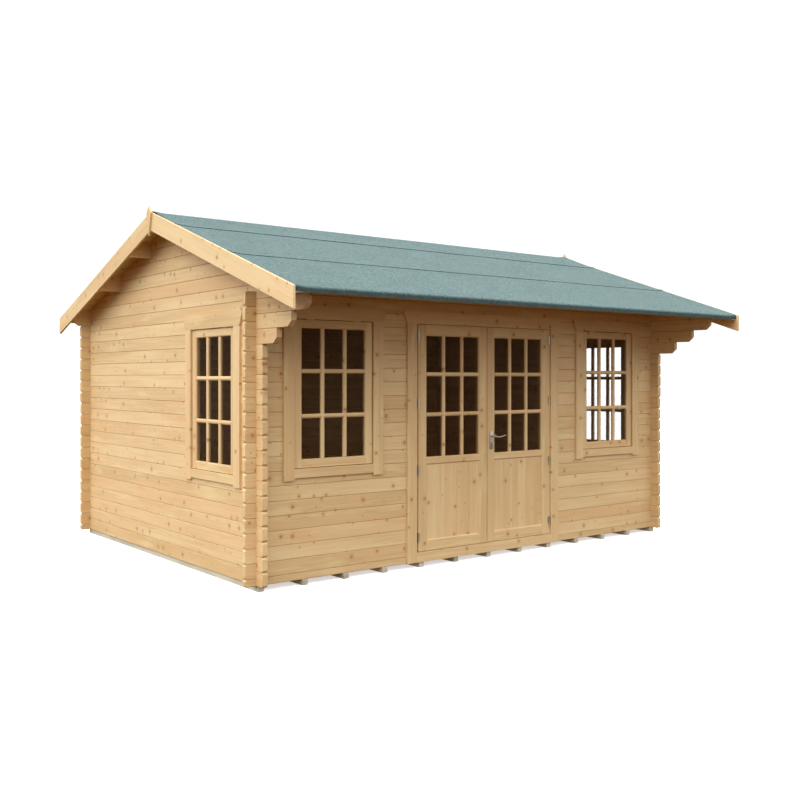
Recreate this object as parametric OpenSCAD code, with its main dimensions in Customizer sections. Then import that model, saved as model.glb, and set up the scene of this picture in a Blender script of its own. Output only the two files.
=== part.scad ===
// Log cabin with a deep front eave, double doors and four 3 by 3 pane windows.
// X runs along the front, Y towards the back and Z up. The origin is on the ground
// under the ridge, midway between the gables.

/* [Overall] */
// Length of the walls over the outer faces of the gables
length = 4798; // [4300:10:6200]
// Depth of the walls over the outer faces of the front and back walls
depth = 3556; // [2900:1:4400]
// Height of the roof's underside at the front wall's outer face, above the bearers
front_h = 2487; // [2360:1:3000]
// Roof pitch in degrees
pitch = 19; // [14:0.1:24]

/* [Logs] */
// Height of one log course
log_h = 115; // [100:1:140]
// Thickness of the log walls
wall = 44; // [38:1:60]
// Length of the log ends that cross past a corner
fin = 95; // [60:1:140]
// Bevel along the long edges of each log
log_bevel = 4; // [2:0.5:7]
// Bevel across the ends of the crossing logs
end_bevel = 15; // [8:1:20]

/* [Corbels] */
// Distance from the front eave to the end of the topmost corbel
corbel_set = 171; // [120:1:220]
// Extra distance from each corbel's end to the end of the one below it
corbel_step = 207; // [150:1:225]
// Length of the bevel under each corbel's end
corbel_bevel = 55; // [30:1:80]
// Height of the bevel under each corbel's end
corbel_cut = 47; // [30:1:70]

/* [Roof] */
// Overhang of the roof in front of the front wall
front_over = 886; // [780:1:1100]
// Overhang of the roof behind the back wall
back_over = 272; // [200:1:330]
// Overhang of the roof past each gable, to the outside of the barge boards
side_over = 217; // [150:1:300]
// Thickness of the roof boards
deck_t = 19; // [15:1:28]
// Thickness of one layer of roofing felt
felt_t = 4; // [2:0.5:6]
// Overlap of the felt courses
felt_lap = 75; // [50:1:120]
// Level distance from the ridge to the edge of the ridge strip
ridge_felt = 495; // [350:1:560]
// Level distance from the ridge to the lower edge of the middle course
mid_felt = 1450; // [1200:1:1700]
// Distance the roof's eaves stop short of the barge boards' ends
eave_set = 18; // [5:1:40]
// Depth of the batten under the roof boards at the eaves
batten_h = 20; // [20:1:60]
// Thickness of the batten at the eaves
batten_t = 20; // [15:1:40]
// Plumb depth of the barge boards
barge_h = 160; // [120:1:200]
// Thickness of the barge boards
barge_t = 20; // [15:1:30]
// Height the barge boards stand above the roof's underside
barge_up = 31.5; // [31:0.5:40]
// Depth of the purlins
purlin_h = 145; // [120:1:180]
// Thickness of the purlins
purlin_t = 45; // [40:1:60]
// Distance of the upper purlins from the ridge
purlin_1 = 474; // [400:1:560]
// Distance of the lower purlins from the ridge
purlin_2 = 1215; // [1100:1:1240]

/* [Finials] */
// Height of the kite-shaped finials
finial_h = 258; // [200:1:400]
// Distance from a finial's tip down to its widest place
finial_shoulder = 60; // [30:1:120]
// Width of the finials
finial_w = 95; // [60:1:140]
// Thickness of the finials
finial_t = 18; // [12:1:25]
// Height of the finials' tips above the barge boards' peak
finial_up = 46; // [20:1:100]

/* [Base] */
// Height of the floor bearers
bearer_h = 45; // [40:1:80]
// Width of the floor bearers
bearer_w = 50; // [40:1:80]
// Number of floor bearers
bearer_n = 13; // [7:2:15]
// Distance of the outermost bearers inside the gables' outer faces
bearer_set = 12; // [0:1:20]
// Length the bearers stick out past the front and back walls
bearer_out = 10; // [0:1:40]
// Thickness of the floor boards
floor_t = 19; // [15:1:28]

/* [Doorway] */
// Distance of the doorway's centre line from the middle of the front, negative to the left
front_shift = -18; // [-60:1:60]
// Width of one door leaf
leaf_w = 800; // [600:1:860]
// Height of the door leaves' top above the bearers
door_head = 2045; // [1900:1:2080]
// Height of the door leaves' bottom above the bearers
leaf_z = 90; // [85:1:110]
// Thickness of the door leaves
leaf_t = 40; // [34:1:50]
// Width of the door leaves' stiles
stile_w = 96; // [80:1:120]
// Height of the door leaves' bottom rail
rail_low = 95; // [80:1:150]
// Height of the door leaves' top rail
rail_top = 95; // [80:1:120]
// Height of the lower panel
panel_h = 649; // [500:1:660]
// Height of the rail between the panel and the glazing
rail_mid = 66; // [50:1:120]
// Height of the two upper rows of door panes
door_pane_h = 316; // [260:1:320]
// Width of the glazing bars
bar_w = 34; // [25:1:45]
// Gap between the two leaves
leaf_gap = 7; // [7:1:12]
// Gap round the leaves inside the door frame
leaf_clear = 5; // [5:1:8]
// Distance the leaves stand proud of the wall
leaf_out = 8; // [2:1:10]
// Thickness of the door frame's jambs and head
jamb_t = 45; // [35:1:60]
// Depth of the door frame through the wall
frame_d = 60; // [60:1:80]
// Height of the threshold
threshold_h = 27.5; // [20:0.5:30]
// Height of the lowest hinge's centre above the bearers
hinge_z = 215; // [150:1:250]
// Spacing of the hinges
hinge_step = 577; // [400:1:590]

/* [Handle] */
// Height of the lever's spindle above the bearers
lever_z = 1053; // [950:1:1100]
// Distance of the lever's spindle from the leaf's meeting edge
lever_set = 46; // [40:1:55]
// Length of the lever's grip
lever_l = 135; // [100:1:150]

/* [Windows] */
// Distance of the front windows' centre lines from the doorway's centre line
window_set = 1669; // [1600:1:1680]
// Distance of the gable windows' centre lines from the front wall's outer face
gable_window_set = 715; // [600:1:1200]
// Width of the window sashes
sash_w = 747; // [500:1:760]
// Height of the window sashes
sash_h = 1167; // [800:1:1180]
// Thickness of the window sashes
sash_t = 36; // [30:1:42]
// Width of the sash members
sash_m = 67; // [50:1:80]
// Thickness of the window frames round the sashes
window_frame_t = 30; // [22:1:36]
// Gap round the sashes
sash_clear = 3; // [2:0.5:5]

/* [Trims] */
// Width of the side trims
trim_w = 100; // [70:1:110]
// Thickness of the trims
trim_t = 20; // [15:1:25]
// Height of the head trims
head_trim_h = 110; // [80:1:130]
// Distance the head trims run past the side trims
head_trim_out = 45; // [0:1:50]
// Height of the trims under the windows
sill_trim_h = 72; // [50:1:90]
// Distance the window side trims run below the sill trims
trim_drop = 20; // [0:1:40]
// Width of door frame left showing beside the side trims
reveal = 20; // [5:1:25]

/* [Hidden] */
$fn = 32;
// small overshoot for cuts
e = 1;
// play between pieces that lie on each other on the roof's slope
seam = 0.1;

// ground plan: the ridge lies on the X axis, midway between the eaves
half_run = (depth + front_over + back_over) / 2;
y_front = front_over - half_run;
y_back = y_front + depth;
x_left = -length / 2;
x_right = length / 2;
verge = x_right + side_over - barge_t;

// heights are counted from the top of the bearers, and the whole cabin is then raised onto them
slope = tan(pitch);
apex = front_h + slope * abs(y_front);
deck_v = deck_t / cos(pitch);
felt_v = felt_t / cos(pitch);
function under(y) = apex - slope * abs(y);
deck_run = half_run - eave_set - felt_t;

// log courses: gable logs start on the bearers, front and back logs start half a log lower
quarter = log_h / 4;
half = log_h / 2;
// least height of the front wall's and the back wall's topmost log
front_top_min = 60;
back_top_min = 90;
front_full = floor((front_h - front_top_min) / log_h - 0.5);
front_crossing = front_full - 1;
back_full = floor((under(y_back) - back_top_min) / log_h - 0.5);
gable_courses = ceil(apex / log_h);
first_corbel = floor(front_h / log_h) - 5;
corbels = 3;
// the course over the corbels butts against the eaves batten
top_course_set = eave_set + felt_t + batten_t;
// end of the back wall's topmost log, which runs out under the verge
eaves_cut = [85, 60];

// doorway
door_x = front_shift;
door_w = 2 * leaf_w + leaf_gap + 2 * leaf_clear;
door_top = door_head + leaf_clear;
leaf_h = door_head - leaf_z;
threshold_top = leaf_z - leaf_clear;
threshold_z = threshold_top - threshold_h;
glaze_z = leaf_z + rail_low + panel_h + rail_mid;
glaze_top = door_head - rail_top;
glaze_w = leaf_w - 2 * stile_w;
leaf_back = leaf_t - leaf_out;
// doorstop behind the leaves
stop_w = 15;
stop_gap = 6;
panel_t = 18;
panel_y = 3;
glass_t = 4;
// thickness of the glazing bars on the outer side of the glass
bar_t = 16;

// hinges, with their pins in front of the leaves' outer edges
hinges = 4;
hinge_h = 80;
knuckle_r = 7;
pin_r = 3.5;
pin_clear = 0.3;
post_h = 26;
pin_out = leaf_out + knuckle_r;
pin_set = leaf_clear / 2;
plate_t = 2.5;
plate_w = 14;

// handle
plate_size = [43, 8, 165];
plate_drop = 36;
spindle_r = 5;
neck_r = 9;
neck_l = 38;
grip_r = 8.5;

// windows, the gable ones half a log lower than the front ones
sash_z = door_head - sash_h;
window_w = sash_w + 2 * (sash_clear + window_frame_t);
window_z = sash_z - sash_clear - window_frame_t;
window_h = sash_h + 2 * (sash_clear + window_frame_t);
sash_out = 4;
sash_back = sash_t - sash_out;
window_frame_d = 58;
window_stop = 12;
trim_gap = 4.5;
trim_in = sash_w / 2 + sash_clear + trim_gap;

pine = "burlywood";
pine_dark = "tan";

// ---------------------------------------------------------------- helpers

module on_bearers() translate([0, 0, bearer_h]) children();

// extrudes an outline given in Y and Z along X
module along_x(x0, x1) translate([x0, 0, 0]) rotate([90, 0, 90]) linear_extrude(x1 - x0) children();

// box from its low and high corners
module box(a, b) translate(a) cube(b - a);

// gable frame: turns a log drawn along X to run along Y, its thickness from x to x + wall
module gable(x) translate([x + wall, 0, 0]) rotate([0, 0, 90]) children();

// everything under the roof boards
module under_roof() along_x(-verge, verge)
    polygon([[-half_run, 0], [half_run, 0], [half_run, under(half_run)], [0, apex],
             [-half_run, under(half_run)]]);

// side view of one end of a log: a plain butt, a bevelled end or a corbel
function end_points(s, z0, z1, style) =
    style == "fin" ? [[s - end_bevel, z0], [s, z0 + end_bevel], [s, z1 - end_bevel], [s - end_bevel, z1]] :
    style == "corbel" ? [[s - corbel_bevel, z0], [s, z0 + corbel_cut], [s, z1]] :
    style == "eaves" ? [[s - eaves_cut[0], z0], [s, z0 + eaves_cut[1]], [s, z1]] :
    [[s, z0], [s, z1]];
function flip(points) = [for (i = [len(points) - 1 : -1 : 0]) [-points[i][0], points[i][1]]];

// one log along X from s0 to s1, with its outer face at y = 0
module log_piece(s0, s1, z0, z1, style0 = "butt", style1 = "butt") intersection() {
    translate([0, wall, 0]) rotate([90, 0, 0]) linear_extrude(wall)
        polygon(concat(end_points(s1, z0, z1, style1), flip(end_points(-s0, z0, z1, style0))));
    along_x(s0, s1) polygon([
        [log_bevel, z0], [wall - log_bevel, z0], [wall, z0 + log_bevel], [wall, z1 - log_bevel],
        [wall - log_bevel, z1], [log_bevel, z1], [0, z1 - log_bevel], [0, z0 + log_bevel]]);
}

// housing cut into the top or bottom of a log where another one crosses it
module housing(s, z0, z1) box([s, -e, z0], [s + wall, wall + e, z1]);

// ---------------------------------------------------------------- base

module floor_bearers() color("darkkhaki")
    for (i = [0 : bearer_n - 1])
        translate([x_left + bearer_set + i * (length - 2 * bearer_set - bearer_w) / (bearer_n - 1),
                   y_front - bearer_out, 0])
            cube([bearer_w, depth + 2 * bearer_out, bearer_h]);

module floor_slab() color(pine)
    on_bearers() box([x_left + wall, y_front + wall, 0], [x_right - wall, y_back - wall, floor_t]);

// ---------------------------------------------------------------- walls

// cuts for the doorway and the front windows
module front_cuts() {
    box([door_x - door_w / 2 - jamb_t, y_front - e, threshold_z],
        [door_x + door_w / 2 + jamb_t, y_front + wall + e, door_top + jamb_t]);
    for (side = [-1, 1])
        translate([door_x + side * window_set - window_w / 2, y_front - e, window_z])
            cube([window_w, wall + 2 * e, window_h]);
}

// full front or back log number i, counted from the half log at the bottom
module crossing_log(i) difference() {
    log_piece(x_left - fin, x_right + fin, max(0, (i - 0.5) * log_h), (i + 0.5) * log_h,
              "fin", "fin");
    for (s = [x_left, x_right - wall]) {
        housing(s, (i + 0.25) * log_h, (i + 0.5) * log_h + e);
        if (i > 0) housing(s, (i - 0.5) * log_h - e, (i - 0.25) * log_h);
    }
}

module front_logs(parity) color(pine) on_bearers() difference() {
    intersection() {
        translate([0, y_front, 0]) for (i = [parity : 2 : front_full + 1])
            if (i <= front_crossing) crossing_log(i);
            else log_piece(x_left + wall, x_right - wall, (i - 0.5) * log_h,
                           i <= front_full ? (i + 0.5) * log_h : apex);
        under_roof();
    }
    front_cuts();
}

// the back wall's topmost log runs out under the verge on both sides
module eaves_log() difference() {
    log_piece(-verge, verge, (back_full + 0.5) * log_h, apex, "eaves", "eaves");
    for (s = [x_left, x_right - wall])
        housing(s, (back_full + 0.5) * log_h - e, (back_full + 0.75) * log_h);
}

module back_logs(parity) color(pine) on_bearers() intersection() {
    translate([0, y_back - wall, 0]) for (i = [parity : 2 : back_full + 1])
        if (i <= back_full) crossing_log(i);
        else eaves_log();
    under_roof();
}

// how far the front end of gable course k reaches in front of the front wall
function reach(k) =
    k < first_corbel ? fin :
    k < first_corbel + corbels ?
        front_over - corbel_set - corbel_step * (first_corbel + corbels - 1 - k) :
    front_over - top_course_set;
function front_style(k) =
    k < first_corbel ? "fin" : k < first_corbel + corbels ? "corbel" : "butt";

// gable log k, with housings for the front and back logs that cross it
module gable_log(k) {
    z0 = k * log_h;
    z1 = z0 + log_h;
    capped = k > back_full;
    difference() {
        log_piece(y_front - reach(k), capped ? y_back - wall : y_back + fin, z0, z1,
                  front_style(k), capped ? "butt" : "fin");
        if (k <= front_crossing) housing(y_front, z0 - e, z0 + quarter);
        if (k < front_crossing) housing(y_front, z1 - quarter, z1 + e);
        if (!capped) {
            housing(y_back - wall, z0 - e, z0 + quarter);
            housing(y_back - wall, z1 - quarter, z1 + e);
        }
    }
}

module gable_logs(x, parity) color(pine) on_bearers() difference() {
    intersection() {
        gable(x) for (k = [parity : 2 : gable_courses - 1]) gable_log(k);
        under_roof();
    }
    purlin_set();
    box([x - e, y_front + gable_window_set - window_w / 2, window_z - half],
        [x + wall + e, y_front + gable_window_set + window_w / 2, window_z - half + window_h]);
}

// ---------------------------------------------------------------- roof

// one purlin in Y and Z, its face nearer the ridge at distance d from it
module purlin_outline(d) polygon([
    [d, under(d) - purlin_h], [d, under(d)], [d + purlin_t, under(d + purlin_t)],
    [d + purlin_t, under(d) - purlin_h]]);

module purlin_set() along_x(-verge, verge) {
    for (d = [purlin_1, purlin_2]) {
        purlin_outline(d);
        mirror([1, 0]) purlin_outline(d);
    }
    polygon([[-purlin_t / 2, apex - purlin_h], [purlin_t / 2, apex - purlin_h],
             [purlin_t / 2, under(purlin_t / 2)], [0, apex], [-purlin_t / 2, under(purlin_t / 2)]]);
}

module purlins() color(pine_dark) on_bearers() purlin_set();

// band of the given plumb thickness above the roof's underside, from d0 to d1 off the ridge
module roof_band(d0, d1, low, high) polygon([
    [d0, under(d0) + low], [d1, under(d1) + low], [d1, under(d1) + high], [d0, under(d0) + high]]);

module roof_boards(side) color(pine_dark) on_bearers()
    along_x(-verge, verge) mirror([side < 0 ? 1 : 0, 0]) roof_band(0, deck_run, seam, deck_v);

module eaves_battens() color(pine_dark) on_bearers() along_x(-verge, verge)
    for (m = [0, 1]) mirror([m, 0]) polygon([
        [deck_run - batten_t, under(deck_run) - batten_h], [deck_run, under(deck_run) - batten_h],
        [deck_run, under(deck_run)], [deck_run - batten_t, under(deck_run - batten_t)]]);

// felt: each course lies on the boards and laps over the course below it
module felt_eave_courses() color("cadetblue") on_bearers() along_x(-verge, verge)
    for (m = [0, 1]) mirror([m, 0]) {
        roof_band(mid_felt - felt_lap, deck_run + felt_t, deck_v + seam, deck_v + felt_v);
        polygon([[deck_run, under(deck_run) - batten_h], [deck_run + felt_t, under(deck_run) - batten_h],
                 [deck_run + felt_t, under(deck_run + felt_t) + deck_v + felt_v / 2],
                 [deck_run, under(deck_run) + deck_v + felt_v / 2]]);
    }

// course from d0 down to d1 whose lower edge laps over the next one
module lapping_course(d0, d1) {
    lap = d1 - felt_lap;
    polygon([for (p = [[d0, seam], [lap, seam], [lap, felt_v + seam], [d1, felt_v + seam],
                       [d1, 2 * felt_v], [lap - felt_t, 2 * felt_v], [lap - felt_t, felt_v],
                       [d0, felt_v]])
        [p[0], under(p[0]) + deck_v + p[1]]]);
}

module felt_middle_courses() color("cadetblue") on_bearers() along_x(-verge, verge)
    for (m = [0, 1]) mirror([m, 0]) lapping_course(ridge_felt - felt_lap, mid_felt);

module felt_ridge() color("cadetblue") on_bearers() along_x(-verge, verge)
    for (m = [0, 1]) mirror([m, 0]) lapping_course(0, ridge_felt);

// barge board at one verge: end is -1 left or 1 right, side is -1 front or 1 back
module barge(end, side) color("wheat") on_bearers()
    along_x(end < 0 ? -verge - barge_t : verge, end < 0 ? -verge : verge + barge_t)
        mirror([side < 0 ? 1 : 0, 0]) roof_band(0, half_run, barge_up - barge_h, barge_up);

// kite-shaped board over the barge boards' peak
module finial(end) color("wheat") on_bearers() {
    tip = apex + barge_up + finial_up;
    x = verge + barge_t;
    along_x(end < 0 ? -x - finial_t : x, end < 0 ? -x : x + finial_t)
        polygon([[0, tip], [-finial_w / 2, tip - finial_shoulder], [0, tip - finial_h],
                 [finial_w / 2, tip - finial_shoulder]]);
}

// ---------------------------------------------------------------- windows

// places its children at each window: local x along the wall from the window's centre,
// y = 0 on the wall's outer face and negative outside, z from the bearers
module at_front_window(side) translate([door_x + side * window_set, y_front, 0]) children();
module at_gable_window(side)
    translate([side < 0 ? x_left : x_right, y_front + gable_window_set, -half])
        rotate([0, 0, 90 * side]) children();
module at_windows() on_bearers() for (side = [-1, 1]) {
    at_front_window(side) children();
    at_gable_window(side) children();
}

module window_frame() difference() {
    translate([-window_w / 2, 0, window_z]) cube([window_w, window_frame_d, window_h]);
    translate([-window_w / 2 + window_frame_t, -e, sash_z - sash_clear])
        cube([window_w - 2 * window_frame_t, sash_back + e, sash_h + 2 * sash_clear]);
    translate([-sash_w / 2 + window_stop, -e, sash_z + window_stop])
        cube([sash_w - 2 * window_stop, window_frame_d + 2 * e, sash_h - 2 * window_stop]);
}

module window_frames() color(pine) at_windows() window_frame();

// glazing bars of an opening from x0, z0 with width w: bar centre lines from lists
module bars(x0, z0, w, h, xs, zs, y0, y1) {
    for (x = xs) translate([x0 + x - bar_w / 2, y0, z0]) cube([bar_w, y1 - y0, h]);
    for (z = zs) translate([x0, y0, z0 + z - bar_w / 2]) cube([w, y1 - y0, bar_w]);
}
function thirds(w) = [for (i = [1, 2]) i * (w + bar_w) / 3 - bar_w / 2];

sash_glass_w = sash_w - 2 * sash_m;
sash_glass_h = sash_h - 2 * sash_m;
sash_glass_y = bar_t - sash_out;

module sash() translate([-sash_w / 2, 0, sash_z]) {
    difference() {
        translate([0, -sash_out, 0]) cube([sash_w, sash_t, sash_h]);
        translate([sash_m, -sash_out - e, sash_m])
            cube([sash_glass_w, sash_t + 2 * e, sash_glass_h]);
    }
    for (span = [[-sash_out, sash_glass_y], [sash_glass_y + glass_t, sash_back]])
        bars(sash_m, sash_m, sash_glass_w, sash_glass_h, thirds(sash_glass_w), thirds(sash_glass_h),
             span[0], span[1]);
}

module sash_front(side) color(pine) on_bearers() at_front_window(side) sash();
module sash_gable(side) color(pine) on_bearers() at_gable_window(side) sash();

module window_glass() color("dimgray", 0.6) at_windows()
    translate([-sash_glass_w / 2, sash_glass_y, sash_z + sash_m])
        cube([sash_glass_w, glass_t, sash_glass_h]);

// ---------------------------------------------------------------- trims

door_trim_in = door_w / 2 + reveal;
module at_door() translate([door_x, y_front, 0]) children();

// head trim that widens upwards from the outer edges of the side trims
module head_trim(inner) {
    w = inner + trim_w;
    translate([0, 0, door_top]) rotate([90, 0, 0]) linear_extrude(trim_t)
        polygon([[-w, 0], [w, 0], [w + head_trim_out, head_trim_h], [-w - head_trim_out, head_trim_h]]);
}
module side_trim_pair(inner, low) for (side = [-1, 1])
    translate([side < 0 ? -inner - trim_w : inner, -trim_t, low])
        cube([trim_w, trim_t, door_top - low]);

module head_trims() color("wheat") {
    at_windows() head_trim(trim_in);
    on_bearers() at_door() head_trim(door_trim_in);
}
sill_trim_z = sash_z - trim_gap - sill_trim_h;
module side_trims() color("wheat") {
    at_windows() side_trim_pair(trim_in, sill_trim_z - trim_drop);
    on_bearers() at_door() side_trim_pair(door_trim_in, 0);
}
module sill_trims() color("wheat") {
    at_windows() translate([-trim_in, -trim_t, sill_trim_z]) cube([2 * trim_in, trim_t, sill_trim_h]);
    on_bearers() at_door() translate([-door_trim_in, -trim_t, 0])
        cube([2 * door_trim_in, trim_t, threshold_top]);
}

// ---------------------------------------------------------------- doorway

module door_frame() color(pine) on_bearers() at_door() difference() {
    translate([-door_w / 2 - jamb_t, 0, threshold_z])
        cube([door_w + 2 * jamb_t, frame_d, door_top + jamb_t - threshold_z]);
    translate([-door_w / 2, -e, threshold_z - e])
        cube([door_w, leaf_back + stop_gap + e, door_top - threshold_z + e]);
    translate([-door_w / 2 + stop_w, -e, threshold_z - e])
        cube([door_w - 2 * stop_w, frame_d + 2 * e, door_top - stop_w - threshold_z + e]);
}

module threshold() color(pine_dark) on_bearers() at_door() {
    translate([-door_w / 2, 0, threshold_z]) cube([door_w, leaf_back + stop_gap, threshold_h]);
    translate([-door_w / 2 + stop_w, leaf_back + stop_gap, threshold_z])
        cube([door_w - 2 * stop_w, frame_d - leaf_back - stop_gap, threshold_h]);
}

// a leaf is drawn with its hinged edge at x = 0 and its outer face at y = -leaf_out
leaf_x = door_w / 2 - leaf_clear;
module at_left_leaf() on_bearers() at_door() translate([-leaf_x, 0, 0]) children();
module at_right_leaf() on_bearers() at_door() translate([leaf_x, 0, 0]) mirror([1, 0, 0]) children();

module leaf() {
    difference() {
        translate([0, -leaf_out, leaf_z]) cube([leaf_w, leaf_t, leaf_h]);
        translate([stile_w, -leaf_out - e, leaf_z + rail_low]) cube([glaze_w, leaf_t + 2 * e, panel_h]);
        translate([stile_w, -leaf_out - e, glaze_z])
            cube([glaze_w, leaf_t + 2 * e, glaze_top - glaze_z]);
    }
    rows = [for (i = [1, 2]) glaze_top - glaze_z - i * door_pane_h - (i - 0.5) * bar_w];
    for (span = [[-leaf_out, bar_t - leaf_out], [bar_t - leaf_out + glass_t, leaf_back]])
        bars(stile_w, glaze_z, glaze_w, glaze_top - glaze_z, thirds(glaze_w), rows, span[0], span[1]);
}
module leaf_panel() translate([stile_w, panel_y, leaf_z + rail_low]) cube([glaze_w, panel_t, panel_h]);
module leaf_glass() translate([stile_w, bar_t - leaf_out, glaze_z])
    cube([glaze_w, glass_t, glaze_top - glaze_z]);

// centre of each hinge pin, and the foot of each hinge
module at_pins() for (i = [0 : hinges - 1])
    translate([-pin_set, -pin_out, hinge_z + i * hinge_step - hinge_h / 2]) children();

// hinge half on the leaf: a knuckle on the pin and a plate screwed to the leaf's face
module leaf_hinges() at_pins() translate([0, 0, post_h + pin_clear]) difference() {
    union() {
        cylinder(r = knuckle_r, h = hinge_h - post_h);
        translate([0, knuckle_r - plate_t, 0])
            cube([plate_w, plate_t, hinge_h - post_h]);
    }
    translate([0, 0, -e]) cylinder(r = pin_r + pin_clear, h = hinge_h - post_h + 2 * e);
}

// hinge half on the frame: a post with the pin, and a plate screwed to the frame's face
module frame_hinges() at_pins() {
    cylinder(r = knuckle_r, h = post_h);
    cylinder(r = pin_r, h = hinge_h);
    translate([-knuckle_r, 0, 0]) cube([plate_t, pin_out, post_h]);
    translate([-reveal + pin_set, pin_out - plate_t, 0]) cube([reveal - 2 * pin_set, plate_t, hinge_h]);
}

module hinge_posts() color("silver") {
    at_left_leaf() frame_hinges();
    at_right_leaf() frame_hinges();
}

module left_leaf() color(pine) at_left_leaf() leaf();
module left_panel() color("wheat") at_left_leaf() leaf_panel();
module left_glass() color("dimgray", 0.6) at_left_leaf() leaf_glass();
module left_hinges() color("silver") at_left_leaf() leaf_hinges();

module right_leaf() color(pine) at_right_leaf() difference() {
    leaf();
    at_spindle() translate([0, -leaf_out - e, 0]) rotate([-90, 0, 0])
        cylinder(r = neck_r, h = leaf_t + 2 * e);
}
module right_panel() color("wheat") at_right_leaf() leaf_panel();
module right_glass() color("dimgray", 0.6) at_right_leaf() leaf_glass();
module right_hinges() color("silver") at_right_leaf() leaf_hinges();

// ---------------------------------------------------------------- handle

module at_spindle() translate([leaf_w - lever_set, 0, lever_z]) children();

// draws its children on the outer face of the leaf and again, turned, on the inner face
module both_faces() {
    translate([0, -leaf_out, 0]) children();
    translate([0, leaf_back, 0]) mirror([0, 1, 0]) children();
}

module handle_plates() color("silver") at_right_leaf() at_spindle() both_faces() difference() {
    translate([-plate_size[0] / 2, -plate_size[1], -plate_size[2] / 2 - plate_drop])
        cube(plate_size);
    translate([0, e, 0]) rotate([90, 0, 0])
        cylinder(r = spindle_r + pin_clear, h = plate_size[1] + 2 * e);
}

module lever_handle() color("silver") at_right_leaf() at_spindle() {
    translate([0, -leaf_out - plate_size[1] - e, 0]) rotate([-90, 0, 0])
        cylinder(r = spindle_r, h = leaf_t + 2 * plate_size[1] + 2 * e);
    both_faces() translate([0, -plate_size[1] - pin_clear, 0]) rotate([90, 0, 0]) {
        cylinder(r = neck_r, h = neck_l);
        translate([0, 0, neck_l]) {
            sphere(r = neck_r);
            rotate([0, -90, 0]) cylinder(r = grip_r, h = lever_l);
            translate([-lever_l, 0, 0]) sphere(r = grip_r);
        }
    }
}

// ---------------------------------------------------------------- nodes

floor_bearers();
floor_slab();  // floor
front_logs(0);  // front_logs_even
front_logs(1);  // front_logs_odd
back_logs(0);  // back_logs_even
back_logs(1);  // back_logs_odd
gable_logs(x_left, 0);  // left_gable_logs_even
gable_logs(x_left, 1);  // left_gable_logs_odd
gable_logs(x_right - wall, 0);  // right_gable_logs_even
gable_logs(x_right - wall, 1);  // right_gable_logs_odd
purlins();
roof_boards(-1);  // roof_boards_front
roof_boards(1);  // roof_boards_back
eaves_battens();
felt_eave_courses();
felt_middle_courses();
felt_ridge();
barge(-1, -1);  // barge_front_left
barge(-1, 1);  // barge_back_left
barge(1, -1);  // barge_front_right
barge(1, 1);  // barge_back_right
finial(-1);  // finial_left
finial(1);  // finial_right
window_frames();
sash_front(-1);  // sash_front_left
sash_front(1);  // sash_front_right
sash_gable(-1);  // sash_left_gable
sash_gable(1);  // sash_right_gable
window_glass();
head_trims();
side_trims();
sill_trims();
door_frame();
threshold();
hinge_posts();
left_leaf();
left_panel();
left_glass();
left_hinges();
right_leaf();
right_panel();
right_glass();
right_hinges();
handle_plates();
lever_handle();
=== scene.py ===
"""Looks of a log cabin: notched pine logs, felted roof, glazed double doors and pane windows.

Every timber is a board of its own with its grain along its length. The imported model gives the
places and sizes, and all lengths here are metres.
"""

import logging
import math
import random
import zlib
from dataclasses import dataclass
from enum import Enum
from typing import Iterable, Sequence, Union

import bmesh
import bpy
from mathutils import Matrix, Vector


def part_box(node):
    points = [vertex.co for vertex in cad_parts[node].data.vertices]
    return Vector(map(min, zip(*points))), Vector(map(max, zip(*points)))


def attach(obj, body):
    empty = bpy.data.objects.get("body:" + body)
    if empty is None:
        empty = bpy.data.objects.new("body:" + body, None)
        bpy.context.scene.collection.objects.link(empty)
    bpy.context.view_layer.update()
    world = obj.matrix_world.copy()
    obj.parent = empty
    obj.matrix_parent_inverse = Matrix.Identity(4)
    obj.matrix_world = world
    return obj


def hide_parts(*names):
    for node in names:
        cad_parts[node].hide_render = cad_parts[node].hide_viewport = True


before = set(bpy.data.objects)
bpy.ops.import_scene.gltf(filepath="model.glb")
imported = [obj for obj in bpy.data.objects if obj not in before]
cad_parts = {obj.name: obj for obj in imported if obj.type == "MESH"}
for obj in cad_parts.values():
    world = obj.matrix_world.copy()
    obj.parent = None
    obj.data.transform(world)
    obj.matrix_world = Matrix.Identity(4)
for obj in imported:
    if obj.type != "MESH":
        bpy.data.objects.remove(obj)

LOG = logging.getLogger("cabin")
Colour = tuple[float, float, float]
Line = list[tuple[float, float, float]]
Section = Sequence[tuple[float, float]]


# ---------------------------------------------------------------- shader graphs


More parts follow.
